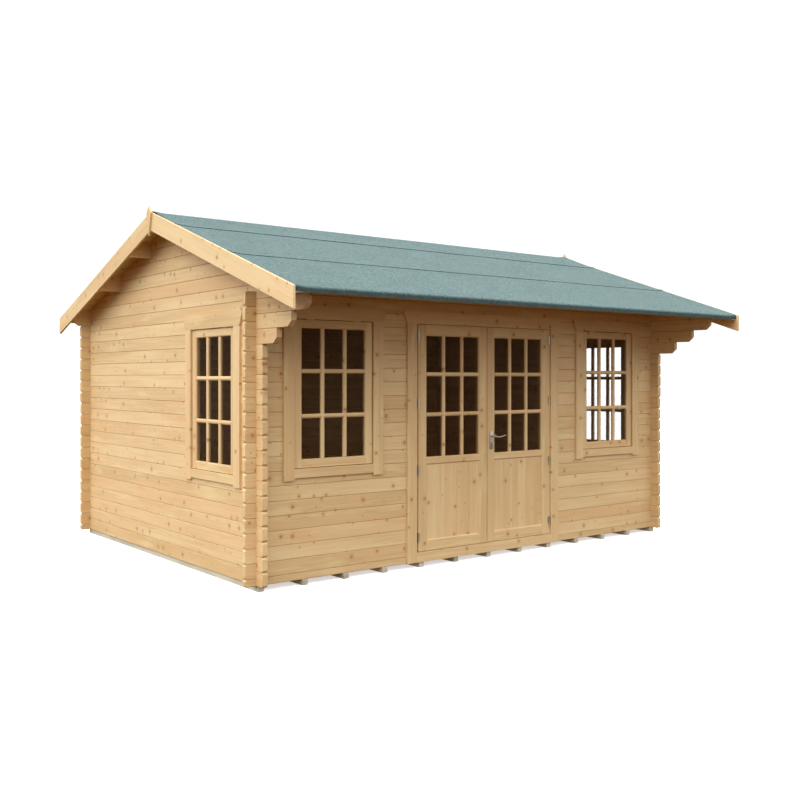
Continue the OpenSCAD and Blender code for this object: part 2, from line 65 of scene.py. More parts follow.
class Signal:
    """A number that varies over a surface. Arithmetic on it adds Math nodes."""

    def __init__(self, graph: "Graph", socket: bpy.types.NodeSocket) -> None:
        """Wraps an output socket of a graph's node."""
        self.graph = graph
        self.socket = socket

    def math(self, operation: str, *values: "Number") -> "Signal":
        """Adds a Math node.

        Args:
            operation: the node's operation.
            values: its inputs, in order.

        Returns:
            The node's result.
        """
        return self.graph.node("ShaderNodeMath", {"operation": operation}, dict(enumerate(values)))

    def __add__(self, other: "Number") -> "Signal":
        """Sum."""
        return self.math("ADD", self, other)

    __radd__ = __add__

    def __sub__(self, other: "Number") -> "Signal":
        """Difference."""
        return self.math("SUBTRACT", self, other)

    def __rsub__(self, other: "Number") -> "Signal":
        """Difference with the signal taken away."""
        return self.math("SUBTRACT", other, self)

    def __mul__(self, other: "Number") -> "Signal":
        """Product."""
        return self.math("MULTIPLY", self, other)

    __rmul__ = __mul__

    def __truediv__(self, other: "Number") -> "Signal":
        """Quotient."""
        return self.math("DIVIDE", self, other)

    def __rtruediv__(self, other: "Number") -> "Signal":
        """Quotient with the signal below the line."""
        return self.math("DIVIDE", other, self)

    def __gt__(self, other: "Number") -> "Signal":
        """One where the signal is above the other value, else zero."""
        return self.math("GREATER_THAN", self, other)

    def root(self) -> "Signal":
        """Square root."""
        return self.math("SQRT", self)

    def fraction(self) -> "Signal":
        """Part after the whole number."""
        return self.math("FRACT", self)

    def exponential(self) -> "Signal":
        """e to the power of the signal."""
        return self.math("EXPONENT", self)

    def fade(self, low: "Number", high: "Number") -> "Signal":
        """Smooth ramp from zero at low to one at high, either way round.

        Args:
            low: signal at which the ramp is zero.
            high: signal at which the ramp is one.

        Returns:
            The ramp.
        """
        settings = {"interpolation_type": "SMOOTHSTEP", "clamp": True}
        return self.graph.node("ShaderNodeMapRange", settings,
                               {"Value": self, "From Min": low, "From Max": high})


Number = Union[Signal, float]


class Graph:
    """A tree of shader nodes, for a material or for the sky."""

    def __init__(self, tree: bpy.types.NodeTree) -> None:
        """Empties the tree and takes it over."""
        self.tree = tree
        self.tree.nodes.clear()

    def node(self, kind: str, settings: dict[str, object], values: dict[object, object],
             result: object = 0) -> Signal:
        """Adds one node.

        Args:
            kind: the node's type.
            settings: properties of the node, set before its sockets.
            values: input sockets by name or number, each a constant or a signal to link.
            result: name or number of the output to return.

        Returns:
            The chosen output.
        """
        node = self.tree.nodes.new(kind)
        for key, value in settings.items():
            setattr(node, key, value)
        for key, value in values.items():
            if isinstance(value, Signal):
                self.tree.links.new(value.socket, node.inputs[key])
            else:
                node.inputs[key].default_value = value
        outputs = node.outputs
        return Signal(self, outputs[result]) if len(outputs) else Signal(self, node.inputs[0])

    def attribute(self, name: str) -> tuple[Signal, Signal, Signal]:
        """Reads a vector attribute of the mesh as three numbers."""
        return self.split(self.node("ShaderNodeAttribute", {"attribute_name": name}, {}, "Vector"))

    def number(self, name: str) -> Signal:
        """Reads an attribute that is one number."""
        return self.node("ShaderNodeAttribute", {"attribute_name": name}, {}, "Fac")

    def object_place(self) -> Signal:
        """Place on the object, in metres."""
        return self.node("ShaderNodeTexCoord", {}, {}, "Object")

    def split(self, vector: Signal) -> tuple[Signal, Signal, Signal]:
        """Takes a vector apart."""
        parts = self.node("ShaderNodeSeparateXYZ", {}, {"Vector": vector}).socket.node.outputs
        return tuple(Signal(self, socket) for socket in parts)

    def vector(self, x: Number, y: Number, z: Number) -> Signal:
        """Puts three numbers together."""
        return self.node("ShaderNodeCombineXYZ", {}, {"X": x, "Y": y, "Z": z})

    def noise(self, place: Signal, scale: float, detail: float = 2.0,
              roughness: float = 0.5) -> Signal:
        """Smooth noise from zero to one.

        Args:
            place: where it is read.
            scale: cells per unit of place.
            detail: number of finer layers.
            roughness: strength of the finer layers.

        Returns:
            The noise.
        """
        return self.node("ShaderNodeTexNoise", {}, {"Vector": place, "Scale": scale,
                                                    "Detail": detail, "Roughness": roughness})

    def cells(self, place: Signal, scale: float, space: str = "3D") -> tuple[Signal, ...]:
        """Cells round scattered points.

        Args:
            place: where they are read.
            scale: cells per unit of place.
            space: 2D or 3D.

        Returns:
            Distance to the cell's point, in cells, and three random numbers of the cell.
        """
        settings = {"voronoi_dimensions": space, "feature": "F1"}
        near = self.node("ShaderNodeTexVoronoi", settings, {"Vector": place, "Scale": scale},
                         "Distance")
        return (near, *self.split(Signal(self, near.socket.node.outputs["Color"])))

    def mix(self, share: Number, first: object, second: object, blend: str = "MIX") -> Signal:
        """Blends two colours.

        Args:
            share: zero for the first colour, one for the second.
            first: a colour or a colour signal.
            second: a colour or a colour signal.
            blend: the Mix node's blend type.

        Returns:
            The blended colour.
        """
        paint = [c if isinstance(c, Signal) else (*c, 1.0) for c in (first, second)]
        return self.node("ShaderNodeMix", {"data_type": "RGBA", "blend_type": blend},
                         {0: share, 6: paint[0], 7: paint[1]}, 2)

    def bump(self, height: Signal, distance: float, strength: float = 1.0) -> Signal:
        """Normal of a surface with the given height.

        Args:
            height: height from zero to one.
            distance: metres that a height of one stands for.
            strength: share of the effect.

        Returns:
            The normal.
        """
        return self.node("ShaderNodeBump", {},
                         {"Height": height, "Distance": distance, "Strength": strength})


class Paint(Graph):
    """A material's graph."""

    def __init__(self, name: str) -> None:
        """Makes the material."""
        self.material = bpy.data.materials.new(name)
        self.material.use_nodes = True
        super().__init__(self.material.node_tree)

    def surface(self, constants: dict[str, object], **inputs: Signal) -> bpy.types.Material:
        """Ends the graph with a surface shader.

        Args:
            constants: sockets that are the same all over.
            inputs: sockets that vary, with spaces in their names written as underscores.

        Returns:
            The finished material.
        """
        varying = {key.replace("_", " "): value for key, value in inputs.items()}
        shader = self.node("ShaderNodeBsdfPrincipled", {}, {**constants, **varying})
        self.node("ShaderNodeOutputMaterial", {}, {"Surface": shader})
        return self.material


# ---------------------------------------------------------------- finishes


@dataclass(frozen=True)
class Streaks:
    """Noise drawn out along a board: cells a metre each way, shifted by the board's pith."""

    along: float
    across: float
    through: float
    layers: float = 2.0
    fineness: float = 0.5
    shift: tuple[float, float] = (0.0, 0.0)


class Grain:
    """A board's grain and its own tone, as a material reads them."""

    def __init__(self, graph: Graph) -> None:
        """Reads the mesh's attributes into a material's graph."""
        self.graph = graph
        self.along, self.across, self.through = graph.attribute("grain")
        self.tone, self.redness, self.pith = graph.attribute("board")

    def noise(self, streaks: Streaks) -> Signal:
        """Reads noise.

        Args:
            streaks: how it is drawn out.

        Returns:
            The noise, from zero to one.
        """
        side, depth = streaks.shift
        place = self.graph.vector(self._part(self.along, streaks.along, 0.0),
                                  self._part(self.across, streaks.across, side),
                                  self._part(self.through, streaks.through, depth))
        return self.graph.noise(place, 1.0, streaks.layers, streaks.fineness)

    def _part(self, way: Signal, cells: float, shift: float) -> Number:
        """One part of the place at which noise is read."""
        part = way * cells if cells else 0.0
        return part + self.pith * shift if shift else part


@dataclass(frozen=True)
class Pine:
    """Planed pine: growth rings, fibre, knots, a tone of its own for each board, and painted shadow
    in the joints between logs.
    """

    name: str
    slot: str
    pale: Colour = (0.805, 0.590, 0.320)
    deep: Colour = (0.63, 0.415, 0.195)
    red: Colour = (0.73, 0.455, 0.220)
    lemon: Colour = (0.78, 0.605, 0.320)
    knot_rim_and_joint_shadow: Colour = (0.225, 0.085, 0.028)
    knot_heart: Colour = (0.48, 0.235, 0.085)
    fibre: Streaks = Streaks(7.0, 420.0, 420.0, 3.0, 0.6)
    streak: Streaks = Streaks(1.1, 38.0, 38.0, 3.0, 0.55)
    broad: Streaks = Streaks(0.9, 7.0, 7.0, shift=(0.0, 9.0))
    blush: Streaks = Streaks(1.6, 9.0, 9.0, shift=(50.0, 0.0))
    fleck: Streaks = Streaks(300.0, 300.0, 60.0)
    drift: Streaks = Streaks(0.55, 0.0, 0.0, shift=(40.0, 0.0))
    sway: Streaks = Streaks(2.2, 5.0, 0.0, 3.0, shift=(0.0, 70.0))
    fibre_tone: float = 0.5
    streak_tone: float = 1.1
    broad_tone: float = 1.1
    board_tone: float = 0.55
    base_tone: float = 0.34
    tone_range: tuple[float, float] = (-0.15, 1.15)
    lemon_blush: tuple[float, float] = (0.52, 0.72)
    lemon_share: float = 0.7
    red_blush: tuple[float, float] = (0.45, 0.28)
    red_share: float = 0.45
    board_red: float = 0.5
    heart_spread: float = 0.11
    heart_drift: float = 0.06
    core_spread: float = 0.10
    core_least: float = 0.012
    ring_gap: float = 0.0036
    ring_contrast: float = 0.36
    ring_sway: float = 0.012
    ring_slip: float = 2.5
    slip_cells: tuple[float, float] = (45.0, 30.0)
    late_wood: tuple[float, float] = (0.25, 0.92)
    ring_end: tuple[float, float] = (0.93, 1.0)
    knot_cell: float = 0.135
    knot_share: float = 0.52
    knot_radius: tuple[float, float] = (0.0035, 0.0115)
    knot_push: float = 1.3
    push_fall: float = -0.22
    halo_fall: float = -0.20
    halo_share: float = 0.5
    knot_edge: tuple[float, float] = (1.25, 0.85)
    rim_edge: tuple[float, float] = (0.50, 0.95)
    rim_share: float = 0.7
    dark_share: float = 0.3
    knot_cover: float = 0.55
    fleck_cover: float = 0.30
    joint_edge: tuple[float, float] = (0.35, 1.0)
    joint_painted_shadow: float = 0.75
    fibre_relief: float = 0.5
    ring_relief: float = 0.35
    knot_relief: float = 0.4
    relief: tuple[float, float] = (0.0006, 0.5)
    roughness: float = 0.55
    roughness_spread: float = 0.12

    def material(self) -> bpy.types.Material:
        """Builds the material.

        Returns:
            The material.
        """
        graph = Paint(self.name)
        grain = Grain(graph)
        flat = graph.vector(grain.along, grain.across, 0.0)
        near, chance, size, dark = graph.cells(flat, 1.0 / self.knot_cell, "2D")
        least, most = self.knot_radius
        present = chance > (1.0 - self.knot_share)
        radius = (size * size * (most - least) + least) * present + 1e-5
        reach = near * self.knot_cell / radius
        push = (reach * reach * self.push_fall).exponential() * present
        late = self._rings(graph, grain, push * radius * self.knot_push)
        fibre, blush = grain.noise(self.fibre), grain.noise(self.blush)

        share = (late * self.ring_contrast + (fibre - 0.5) * self.fibre_tone
                 + (grain.noise(self.streak) - 0.5) * self.streak_tone
                 + (grain.noise(self.broad) - 0.5) * self.broad_tone
                 + (grain.tone - 0.5) * self.board_tone + self.base_tone)
        wood = graph.mix(share.fade(*self.tone_range), self.pale, self.deep)
        wood = graph.mix(blush.fade(*self.lemon_blush) * self.lemon_share, wood, self.lemon)
        redness = grain.redness * self.board_red + blush.fade(*self.red_blush) * self.red_share
        wood = graph.mix(redness.fade(0.0, 1.0), wood, self.red)

        halo = (reach * reach * self.halo_fall).exponential() * present * self.halo_share
        wood = graph.mix(halo, wood, self.knot_heart)
        knot = reach.fade(*self.knot_edge) * present
        rim = reach.fade(*self.rim_edge) * self.rim_share + dark * self.dark_share
        knot_wood = graph.mix(rim, self.knot_heart, self.knot_rim_and_joint_shadow)
        cover = knot * (self.knot_cover + grain.noise(self.fleck) * self.fleck_cover)
        wood = graph.mix(cover, wood, knot_wood)
        # Painted shadow: the joints where logs meet are darkened to the knot rim colour.
        joint_shadow = graph.number("joint_shadow").fade(*self.joint_edge) * self.joint_painted_shadow
        wood = graph.mix(joint_shadow, wood, self.knot_rim_and_joint_shadow)

        height = fibre * self.fibre_relief + late * self.ring_relief + knot * self.knot_relief
        spread = self.roughness_spread
        rough = self.roughness + (fibre - 0.5) * spread - knot * spread
        return graph.surface({"Specular IOR Level": 0.35}, Base_Color=wood, Roughness=rough,
                             Normal=graph.bump(height, *self.relief))

    def _rings(self, graph: Graph, grain: Grain, push: Signal) -> Signal:
        """Growth rings round a pith that lies beside the board and wanders along it.

        Args:
            graph: the material's graph.
            grain: the board's grain.
            push: how far knots push the rings out, in metres.

        Returns:
            One in late wood, zero in early wood.
        """
        heart = (grain.across + (grain.pith - 0.5) * self.heart_spread
                 + (grain.noise(self.drift) - 0.5) * self.heart_drift)
        core = grain.through + grain.pith * self.core_spread + self.core_least
        wander = grain.noise(self.sway) * self.ring_sway
        radius = (heart * heart + core * core).root() + wander + push
        cells, seed = self.slip_cells
        slip = graph.noise(graph.vector(radius * cells, grain.pith * seed, 0.0), 1.0, 1.0)
        phase = (radius / self.ring_gap + slip * self.ring_slip).fraction()
        return phase.fade(*self.late_wood) * (1.0 - phase.fade(*self.ring_end))


@dataclass(frozen=True)
class Treated:
    """Rough sawn timber with a grey green preservative."""

    name: str = "treated_pine"
    slot: str = "treated_timber"
    pale: Colour = (0.66, 0.610, 0.480)
    deep: Colour = (0.34, 0.310, 0.225)
    saw: Streaks = Streaks(500.0, 9.0, 9.0)
    fibre: Streaks = Streaks(9.0, 260.0, 260.0, 3.0, 0.6)
    stain: Streaks = Streaks(3.0, 11.0, 11.0, 3.0, shift=(0.0, 5.0))
    fibre_tone: float = 0.5
    stain_tone: float = 0.9
    board_tone: float = 0.35
    base_tone: float = -0.35
    fibre_relief: float = 0.6
    saw_relief: float = 0.4
    relief: tuple[float, float] = (0.0012, 0.6)
    roughness: float = 0.72
    roughness_spread: float = 0.15

    def material(self) -> bpy.types.Material:
        """Builds the material.

        Returns:
            The material.
        """
        graph = Paint(self.name)
        grain = Grain(graph)
        fibre = grain.noise(self.fibre)
        share = (fibre * self.fibre_tone + grain.noise(self.stain) * self.stain_tone
                 + grain.tone * self.board_tone + self.base_tone)
        wood = graph.mix(share.fade(0.1, 1.0), self.pale, self.deep)
        height = fibre * self.fibre_relief + grain.noise(self.saw) * self.saw_relief
        return graph.surface({"Specular IOR Level": 0.25}, Base_Color=wood,
                             Roughness=self.roughness + fibre * self.roughness_spread,
                             Normal=graph.bump(height, *self.relief))


@dataclass(frozen=True)
class Felt:
    """Mineral surfaced roofing felt, grey green granules on bitumen, with painted shade on the
    turned-down eaves.
    """

    name: str = "mineral_felt"
    slot: str = "roofing_felt"
    granule: Colour = (0.125, 0.190, 0.187)
    shade: Colour = (0.055, 0.098, 0.099)
    glint: Colour = (0.32, 0.40, 0.385)
    bitumen_and_eave_shade: Colour = (0.012, 0.022, 0.023)
    granule_cells: float = 330.0
    granule_tone: float = 0.6
    wear_cells: float = 2.5
    wear_tone: float = 0.5
    patch_cells: float = 42.0
    patch_tone: float = 3.4
    base_tone: float = 0.18
    glint_pick: tuple[float, float] = (0.84, 0.96)
    glint_share: float = 0.7
    granule_relief: float = 0.5
    patch_relief: float = 0.8
    relief: tuple[float, float] = (0.0025, 0.6)
    roughness: float = 0.82
    roughness_spread: float = 0.12

    def material(self) -> bpy.types.Material:
        """Builds the material.

        Returns:
            The material.
        """
        graph = Paint(self.name)
        place = graph.object_place()
        near, lot, pick, _ = graph.cells(place, self.granule_cells)
        wear = graph.noise(place, self.wear_cells, 5.0, 0.6)
        patch = graph.noise(place, self.patch_cells, 5.0, 0.75)
        share = (lot * self.granule_tone + (wear - 0.5) * self.wear_tone
                 + (patch - 0.5) * self.patch_tone + self.base_tone)
        paint = graph.mix(share.fade(0.0, 1.0), self.granule, self.shade)
        paint = graph.mix(pick.fade(*self.glint_pick) * self.glint_share, paint, self.glint)
        # Bitumen on cut edges, ends and undersides; on the turned-down eaves the same darkening is
        # painted shade.
        paint = graph.mix(graph.number("bitumen_and_painted_shade"), paint, self.bitumen_and_eave_shade)
        height = (1.0 - near) * self.granule_relief + patch * self.patch_relief
        return graph.surface({"Specular IOR Level": 0.2}, Base_Color=paint,
                             Roughness=self.roughness + lot * self.roughness_spread,
                             Normal=graph.bump(height, *self.relief))


@dataclass(frozen=True)
class Steel:
    """Satin zinc plated steel."""

    name: str = "satin_steel"
    slot: str = "bright_steel"
    bright: Colour = (0.66, 0.62, 0.54)
    dull: Colour = (0.42, 0.39, 0.33)
    cloud_cells: float = 60.0
    cloud_tone: float = 0.7
    brush_cells: tuple[float, float] = (900.0, 40.0)
    brush_tone: float = 0.5
    base_tone: float = -0.1
    relief: tuple[float, float] = (0.0001, 0.4)
    roughness: float = 0.26
    roughness_spread: float = 0.14

    def material(self) -> bpy.types.Material:
        """Builds the material.

        Returns:
            The material.
        """
        graph = Paint(self.name)
        place = graph.object_place()
        cloud = graph.noise(place, self.cloud_cells, 4.0, 0.6)
        x, y, z = graph.split(place)
        fine, long = self.brush_cells
        brushed = graph.noise(graph.vector(x * fine, y * fine, z * long), 1.0)
        share = cloud * self.cloud_tone + brushed * self.brush_tone + self.base_tone
        paint = graph.mix(share.fade(0.2, 0.9), self.bright, self.dull)
        return graph.surface({"Metallic": 1.0}, Base_Color=paint,
                             Roughness=self.roughness + brushed * self.roughness_spread,
                             Normal=graph.bump(brushed, *self.relief))


@dataclass(frozen=True)
class Glass:
    """Clear window glass with a faint film, and a dark brown tint that paints the shade of the dim
    room behind it.
    """

    name: str = "clear_glass"
    slot: str = "pane_glass"
    room_shade_tint: Colour = (0.045, 0.018, 0.004)
    opacity: float = 0.19
    film_cells: float = 9.0
    film_opacity: float = 0.04
    roughness: float = 0.03
    film_roughness: float = 0.05

    def material(self) -> bpy.types.Material:
        """Builds the material.

        Returns:
            The material.
        """
        graph = Paint(self.name)
        film = graph.noise(graph.object_place(), self.film_cells, 4.0, 0.6)
        # Painted shade: the opaque share of each pane is dark brown, standing for the dim room
        # behind.
        return graph.surface({"Base Color": (*self.room_shade_tint, 1.0), "Specular IOR Level": 0.08},
                             Alpha=self.opacity + film * self.film_opacity,
                             Roughness=self.roughness + film * self.film_roughness)


@dataclass(frozen=True)
class Dark:
    """Near-black painted shade: strips in the gaps round the sashes and the hollow of a keyhole."""

    name: str
    slot: str
    deep: Colour = (0.012, 0.009, 0.007)
    paler_shade: Colour = (0.030, 0.022, 0.016)
    mottle_cells: float = 300.0
    roughness: float = 0.7
    roughness_spread: float = 0.2

    def material(self) -> bpy.types.Material:
        """Builds the material.

        Returns:
            The material.
        """
        graph = Paint(self.name)
        # Painted shade, mottled between two dark tones.
        mottle = graph.noise(graph.object_place(), self.mottle_cells)
        return graph.surface({"Specular IOR Level": 0.1},
                             Roughness=self.roughness + mottle * self.roughness_spread,
                             Base_Color=graph.mix(mottle, self.deep, self.paler_shade))


# ---------------------------------------------------------------- timber


class Way(Enum):
    """Direction that a board's grain runs in."""

    X = 0
    Y = 1
    Z = 2


@dataclass(frozen=True)
class Lay:
    """How a board lies: along its grain, across its face and through its thickness."""

    along: Vector
    across: Vector
    through: Vector

    @staticmethod
    def of(size: Vector, way: Way) -> "Lay":
        """Works out how a square board lies.

        Args:
            size: its size along X, Y and Z.
            way: direction of its grain.

        Returns:
            Its lay, with the thinner of the other two sizes as its thickness.
        """
        axes = (RIGHT, INWARD, UP)
        others = sorted((i for i in range(3) if i != way.value), key=lambda i: size[i])
        return Lay(axes[way.value], axes[others[1]], axes[others[0]])


def block(outline: Sequence[Vector], sweep: Vector) -> bmesh.types.BMesh:
    """Makes a solid of any outline.

    Args:
        outline: corners of one face, in order.
        sweep: from that face to the opposite one.

    Returns:
        The solid.
    """
    mesh = bmesh.new()
    near = [mesh.verts.new(p) for p in outline]
    far = [mesh.verts.new(p + sweep) for p in outline]
    mesh.faces.new(near)
    mesh.faces.new(far[::-1])
    for i, corner in enumerate(near):
        j = (i + 1) % len(near)
        mesh.faces.new((near[j], corner, far[i], far[j]))
    return mesh


def ease(mesh: bmesh.types.BMesh, bevel: float) -> None:
    """Rounds all edges of a solid."""
    bmesh.ops.bevel(mesh, geom=mesh.edges[:], offset=bevel, segments=2, profile=0.6,
                    affect="EDGES", clamp_overlap=True)


UP, RIGHT, INWARD = Vector((0, 0, 1)), Vector((1, 0, 0)), Vector((0, 1, 0))


class Timber:
    """Boards of one piece, each with its own grain, gathered into one mesh."""

    NEAR = 0.001

    def __init__(self, name: str) -> None:
        """Starts an empty piece; its name also seeds the boards' differences."""
        self.name = name
        self.chance = random.Random(zlib.crc32(name.encode()))
        self.points: list[Vector] = []
        self.faces: list[tuple[int, ...]] = []
        self.grain: list[Vector] = []
        self.tones: list[Vector] = []
        self.joints: list[float] = []

    def _add(self, mesh: bmesh.types.BMesh, lay: Lay, joints: bool = False) -> None:
        """Takes in one finished board.

        Args:
            mesh: the board; it is freed.
            lay: how the board lies.
            joints: whether its bevelled long edges meet the next board's.
        """
        first = len(self.points)
        points = [v.co.copy() for v in mesh.verts]
        mesh.verts.index_update()
        middle = sum(points, Vector()) / len(points)
        low = min((p - middle).dot(lay.through) for p in points)
        high = max((p - middle).dot(lay.through) for p in points)
        bottom, top = min(p.z for p in points), max(p.z for p in points)
        start = self.chance.uniform(0, 400)
        flip = self.chance.choice((-1, 1))
        redness = self.chance.random() ** 3
        tone = Vector((self.chance.random(), redness, self.chance.random()))
        for point in points:
            local = point - middle
            self.grain.append(Vector((local.dot(lay.along) + start, flip * local.dot(lay.across),
                                      local.dot(lay.through) - low)))
            self.tones.append(tone)
            depth = local.dot(lay.through)
            met = min(point.z - bottom, top - point.z) < self.NEAR
            self.joints.append(float(joints and met and low + self.NEAR < depth < high - self.NEAR))
        self.points.extend(points)
        self.faces.extend(tuple(first + v.index for v in face.verts) for face in mesh.faces)
        mesh.free()

    def prism(self, outline: Sequence[Vector], sweep: Vector, lay: Lay, bevel: float) -> None:
        """Adds a board of any outline.

        Args:
            outline: corners of one face, in order.
            sweep: from that face to the opposite one.
            lay: how the board lies.
            bevel: width of the eased edges.
        """
        mesh = block(outline, sweep)
        bmesh.ops.recalc_face_normals(mesh, faces=mesh.faces[:])
        ease(mesh, bevel)
        self._add(mesh, lay)

    def adopt(self, node: str, way: Way | None = None, bevel: float = 0.0,
              joints: bool = False) -> None:
        """Takes in each solid of a CAD node.

        Args:
            node: the node's name.
            way: direction of the grain, or None for each solid's longest side.
            bevel: width of the eased edges.
            joints: whether the solids' bevelled long edges meet.
        """
        whole = bmesh.new()
        whole.from_mesh(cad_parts[node].data)
        bmesh.ops.remove_doubles(whole, verts=whole.verts[:], dist=1e-5)
        bmesh.ops.dissolve_limit(whole, angle_limit=math.radians(0.5), verts=whole.verts[:],
                                 edges=whole.edges[:])
        for group in self._solids(whole):
            piece = bmesh.new()
            copy = {v: piece.verts.new(v.co) for v in group}
            for face in {f for v in group for f in v.link_faces}:
                piece.faces.new([copy[v] for v in face.verts])
            spans = [[v.co[i] for v in group] for i in range(3)]
            size = Vector([max(span) - min(span) for span in spans])
            longest = Way(max(range(3), key=lambda i: size[i])) if way is None else way
            if bevel:
                ease(piece, bevel)
            self._add(piece, Lay.of(size, longest), joints)
        whole.free()

    @staticmethod
    def _solids(mesh: bmesh.types.BMesh) -> Iterable[list[bmesh.types.BMVert]]:
        """Groups of joined points, one for each solid."""
        left = set(mesh.verts)
        while left:
            start = min(left, key=lambda v: v.index)
            group, queue = [], [start]
            left.discard(start)
            while queue:
                vert = queue.pop()
                group.append(vert)
                for edge in vert.link_edges:
                    other = edge.other_vert(vert)
                    if other in left:
                        left.discard(other)
                        queue.append(other)
            yield group

    def build(self, finish: "Finish", body: str, *nodes: str) -> bpy.types.Object:
        """Makes the piece.

        Args:
            finish: its material.
            body: the body that carries it.
            nodes: the CAD nodes that it stands for.

        Returns:
            The piece.
        """
        mesh = bpy.data.meshes.new(self.name)
        mesh.from_pydata(self.points, [], self.faces)
        for label, values in (("grain", self.grain), ("board", self.tones)):
            layer = mesh.attributes.new(label, "FLOAT_VECTOR", "POINT")
            layer.data.foreach_set("vector", [c for value in values for c in value])
        # This attribute marks the joints between logs, where painted shadow is laid.
        mesh.attributes.new("joint_shadow", "FLOAT", "POINT").data.foreach_set("value", self.joints)
        return place(self.name, mesh, finish, body, *nodes)


Finish = Union[Pine, Treated, Felt, Steel, Glass, Dark]
_materials: dict[Finish, bpy.types.Material] = {}


def dress(item: bpy.types.Object, finish: Finish) -> None:
    """Gives an object a finish, made once for all that share it.

    Args:
        item: the object.
        finish: its finish.
    """
    if finish not in _materials:
        _materials[finish] = finish.material()
    item.data.materials.clear()
    item.data.materials.append(_materials[finish])


def place(name: str, mesh: bpy.types.Mesh, finish: Finish, body: str,
          *nodes: str) -> bpy.types.Object:
    """Puts a mesh into the scene as a piece of the cabin.

    Args:
        name: the piece's name.
        mesh: its mesh, in the cabin's own frame.
        finish: its material.
        body: the body that carries it.
        nodes: the CAD nodes that it stands for.

    Returns:
        The piece.
    """
    item = bpy.data.objects.new(name, mesh)
    bpy.context.scene.collection.objects.link(item)
    dress(item, finish)
    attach(item, body)
    if nodes:
        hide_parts(*nodes)
    LOG.info("%s: %d faces on %s", name, len(mesh.polygons), body)
    return item


LOG_PINE = Pine("log_pine", "pine_logs")
BOARD_PINE = Pine("board_pine", "pine_boards", knot_share=0.45)
JOINERY_PINE = Pine("joinery_pine", "pine_joinery", knot_share=0.42, ring_contrast=0.30)
TREATED = Treated()
FELT = Felt()
STEEL = Steel()
GLASS = Glass()
# Painted shade for the hollow of each keyhole.
KEYHOLE_SHADE = Dark("keyhole_painted_shade", "bright_steel")
# Painted shade for the gaps round the sashes.
GAP_SHADE = Dark("window_gap_shade", "pine_joinery", (0.060, 0.028, 0.012), (0.11, 0.055, 0.022))
CABIN = "cabin"


# ---------------------------------------------------------------- the cabin


@dataclass
class Base:
    """Floor bearers and floor boards."""

    board_width: float = 0.096
    groove: float = 0.0015
    sawn_edge: float = 0.002

    def build(self) -> None:
        """Makes the bearers and the floor."""
        bearers = Timber("bearers")
        bearers.adopt("floor_bearers", bevel=self.sawn_edge)
        bearers.build(TREATED, CABIN, "floor_bearers")
        low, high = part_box("floor")
        floor = Timber("floor_boards")
        count = round((high.y - low.y) / self.board_width)
        step = (high.y - low.y) / count
        for i in range(count):
            y = low.y + i * step
            corners = [(low.x, y), (high.x, y), (high.x, y + step), (low.x, y + step)]
            floor.prism([Vector((*corner, low.z)) for corner in corners],
                        Vector((0, 0, high.z - low.z)), Lay(RIGHT, INWARD, UP), self.groove)
        floor.build(BOARD_PINE, CABIN, "floor")


@dataclass
class LogWalls:
    """The four walls of notched logs."""

    walls: tuple[str, ...] = ("front", "back", "left_gable", "right_gable")

    def build(self) -> None:
        """Makes one piece for each wall."""
        for wall in self.walls:
            nodes = [f"{wall}_logs_even", f"{wall}_logs_odd"]
            logs = Timber(f"{wall}_wall_logs")
            for node in nodes:
                logs.adopt(node, joints=True)
            logs.build(LOG_PINE, CABIN, *nodes)


@dataclass
class Roof:
    """Purlins, roof boards, battens, barge boards and finials."""

    pitch: float = math.radians(19.0)
    board_width: float = 0.096
    board_thickness: float = 0.019
    groove: float = 0.003
    eased_edge: float = 0.002

    def build(self) -> None:
        """Makes the roof's pieces."""
        for name, node in (("roof_purlins", "purlins"), ("battens", "eaves_battens")):
            timbers = Timber(name)
            timbers.adopt(node, Way.X)
            timbers.build(BOARD_PINE, CABIN, node)
        self._boards("roof_boards_front", -1)
        self._boards("roof_boards_back", 1)
        for end in ("left", "right"):
            for side in ("front", "back"):
                self._barge(f"barge_{side}_{end}", -1 if side == "front" else 1)
            finial = Timber(f"finial_{end}_board")
            finial.adopt(f"finial_{end}", Way.Z, bevel=self.eased_edge)
            finial.build(BOARD_PINE, CABIN, f"finial_{end}")

    def _down(self, side: int) -> Vector:
        """Direction down the slope of one side, -1 front or 1 back."""
        return Vector((0, side * math.cos(self.pitch), -math.sin(self.pitch)))

    @staticmethod
    def _outline(x: float, eave: float, top: float, fall: float, plumb: float) -> list[Vector]:
        """Corners of a board's side, from the ridge down to the eave and plumb at both ends."""
        return [Vector((x, 0, top)), Vector((x, eave, top - fall)),
                Vector((x, eave, top - fall - plumb)), Vector((x, 0, top - plumb))]

    def _boards(self, node: str, side: int) -> None:
        """Makes one slope's boards, which run from the ridge to the eave.

        Args:
            node: the slab that they stand for.
            side: -1 for the front slope, 1 for the back one.
        """
        low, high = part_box(node)
        run = high.y - low.y
        thick = self.board_thickness / math.cos(self.pitch)
        boards = Timber(f"{node}_laid")
        count = round((high.x - low.x) / self.board_width)
        step = (high.x - low.x) / count
        lay = Lay(self._down(side), RIGHT, self._down(side).cross(RIGHT))
        for i in range(count):
            outline = self._outline(low.x + i * step, side * run, high.z,
                                    run * math.tan(self.pitch), thick)
            boards.prism(outline, RIGHT * step, lay, self.groove)
        boards.build(BOARD_PINE, CABIN, node)

    def _barge(self, node: str, side: int) -> None:
        """Makes one barge board.

        Args:
            node: the node that it stands for.
            side: -1 for the front slope, 1 for the back one.
        """
        low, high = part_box(node)
        fall = (high.y - low.y) * math.tan(self.pitch)
        eave = low.y if side < 0 else high.y
        outline = self._outline(low.x, eave, high.z, fall, (high.z - low.z) - fall)
        board = Timber(f"{node}_board")
        lay = Lay(self._down(side), self._down(side).cross(RIGHT), RIGHT)
        board.prism(outline, RIGHT * (high.x - low.x), lay, self.eased_edge)
        board.build(BOARD_PINE, CABIN, node)


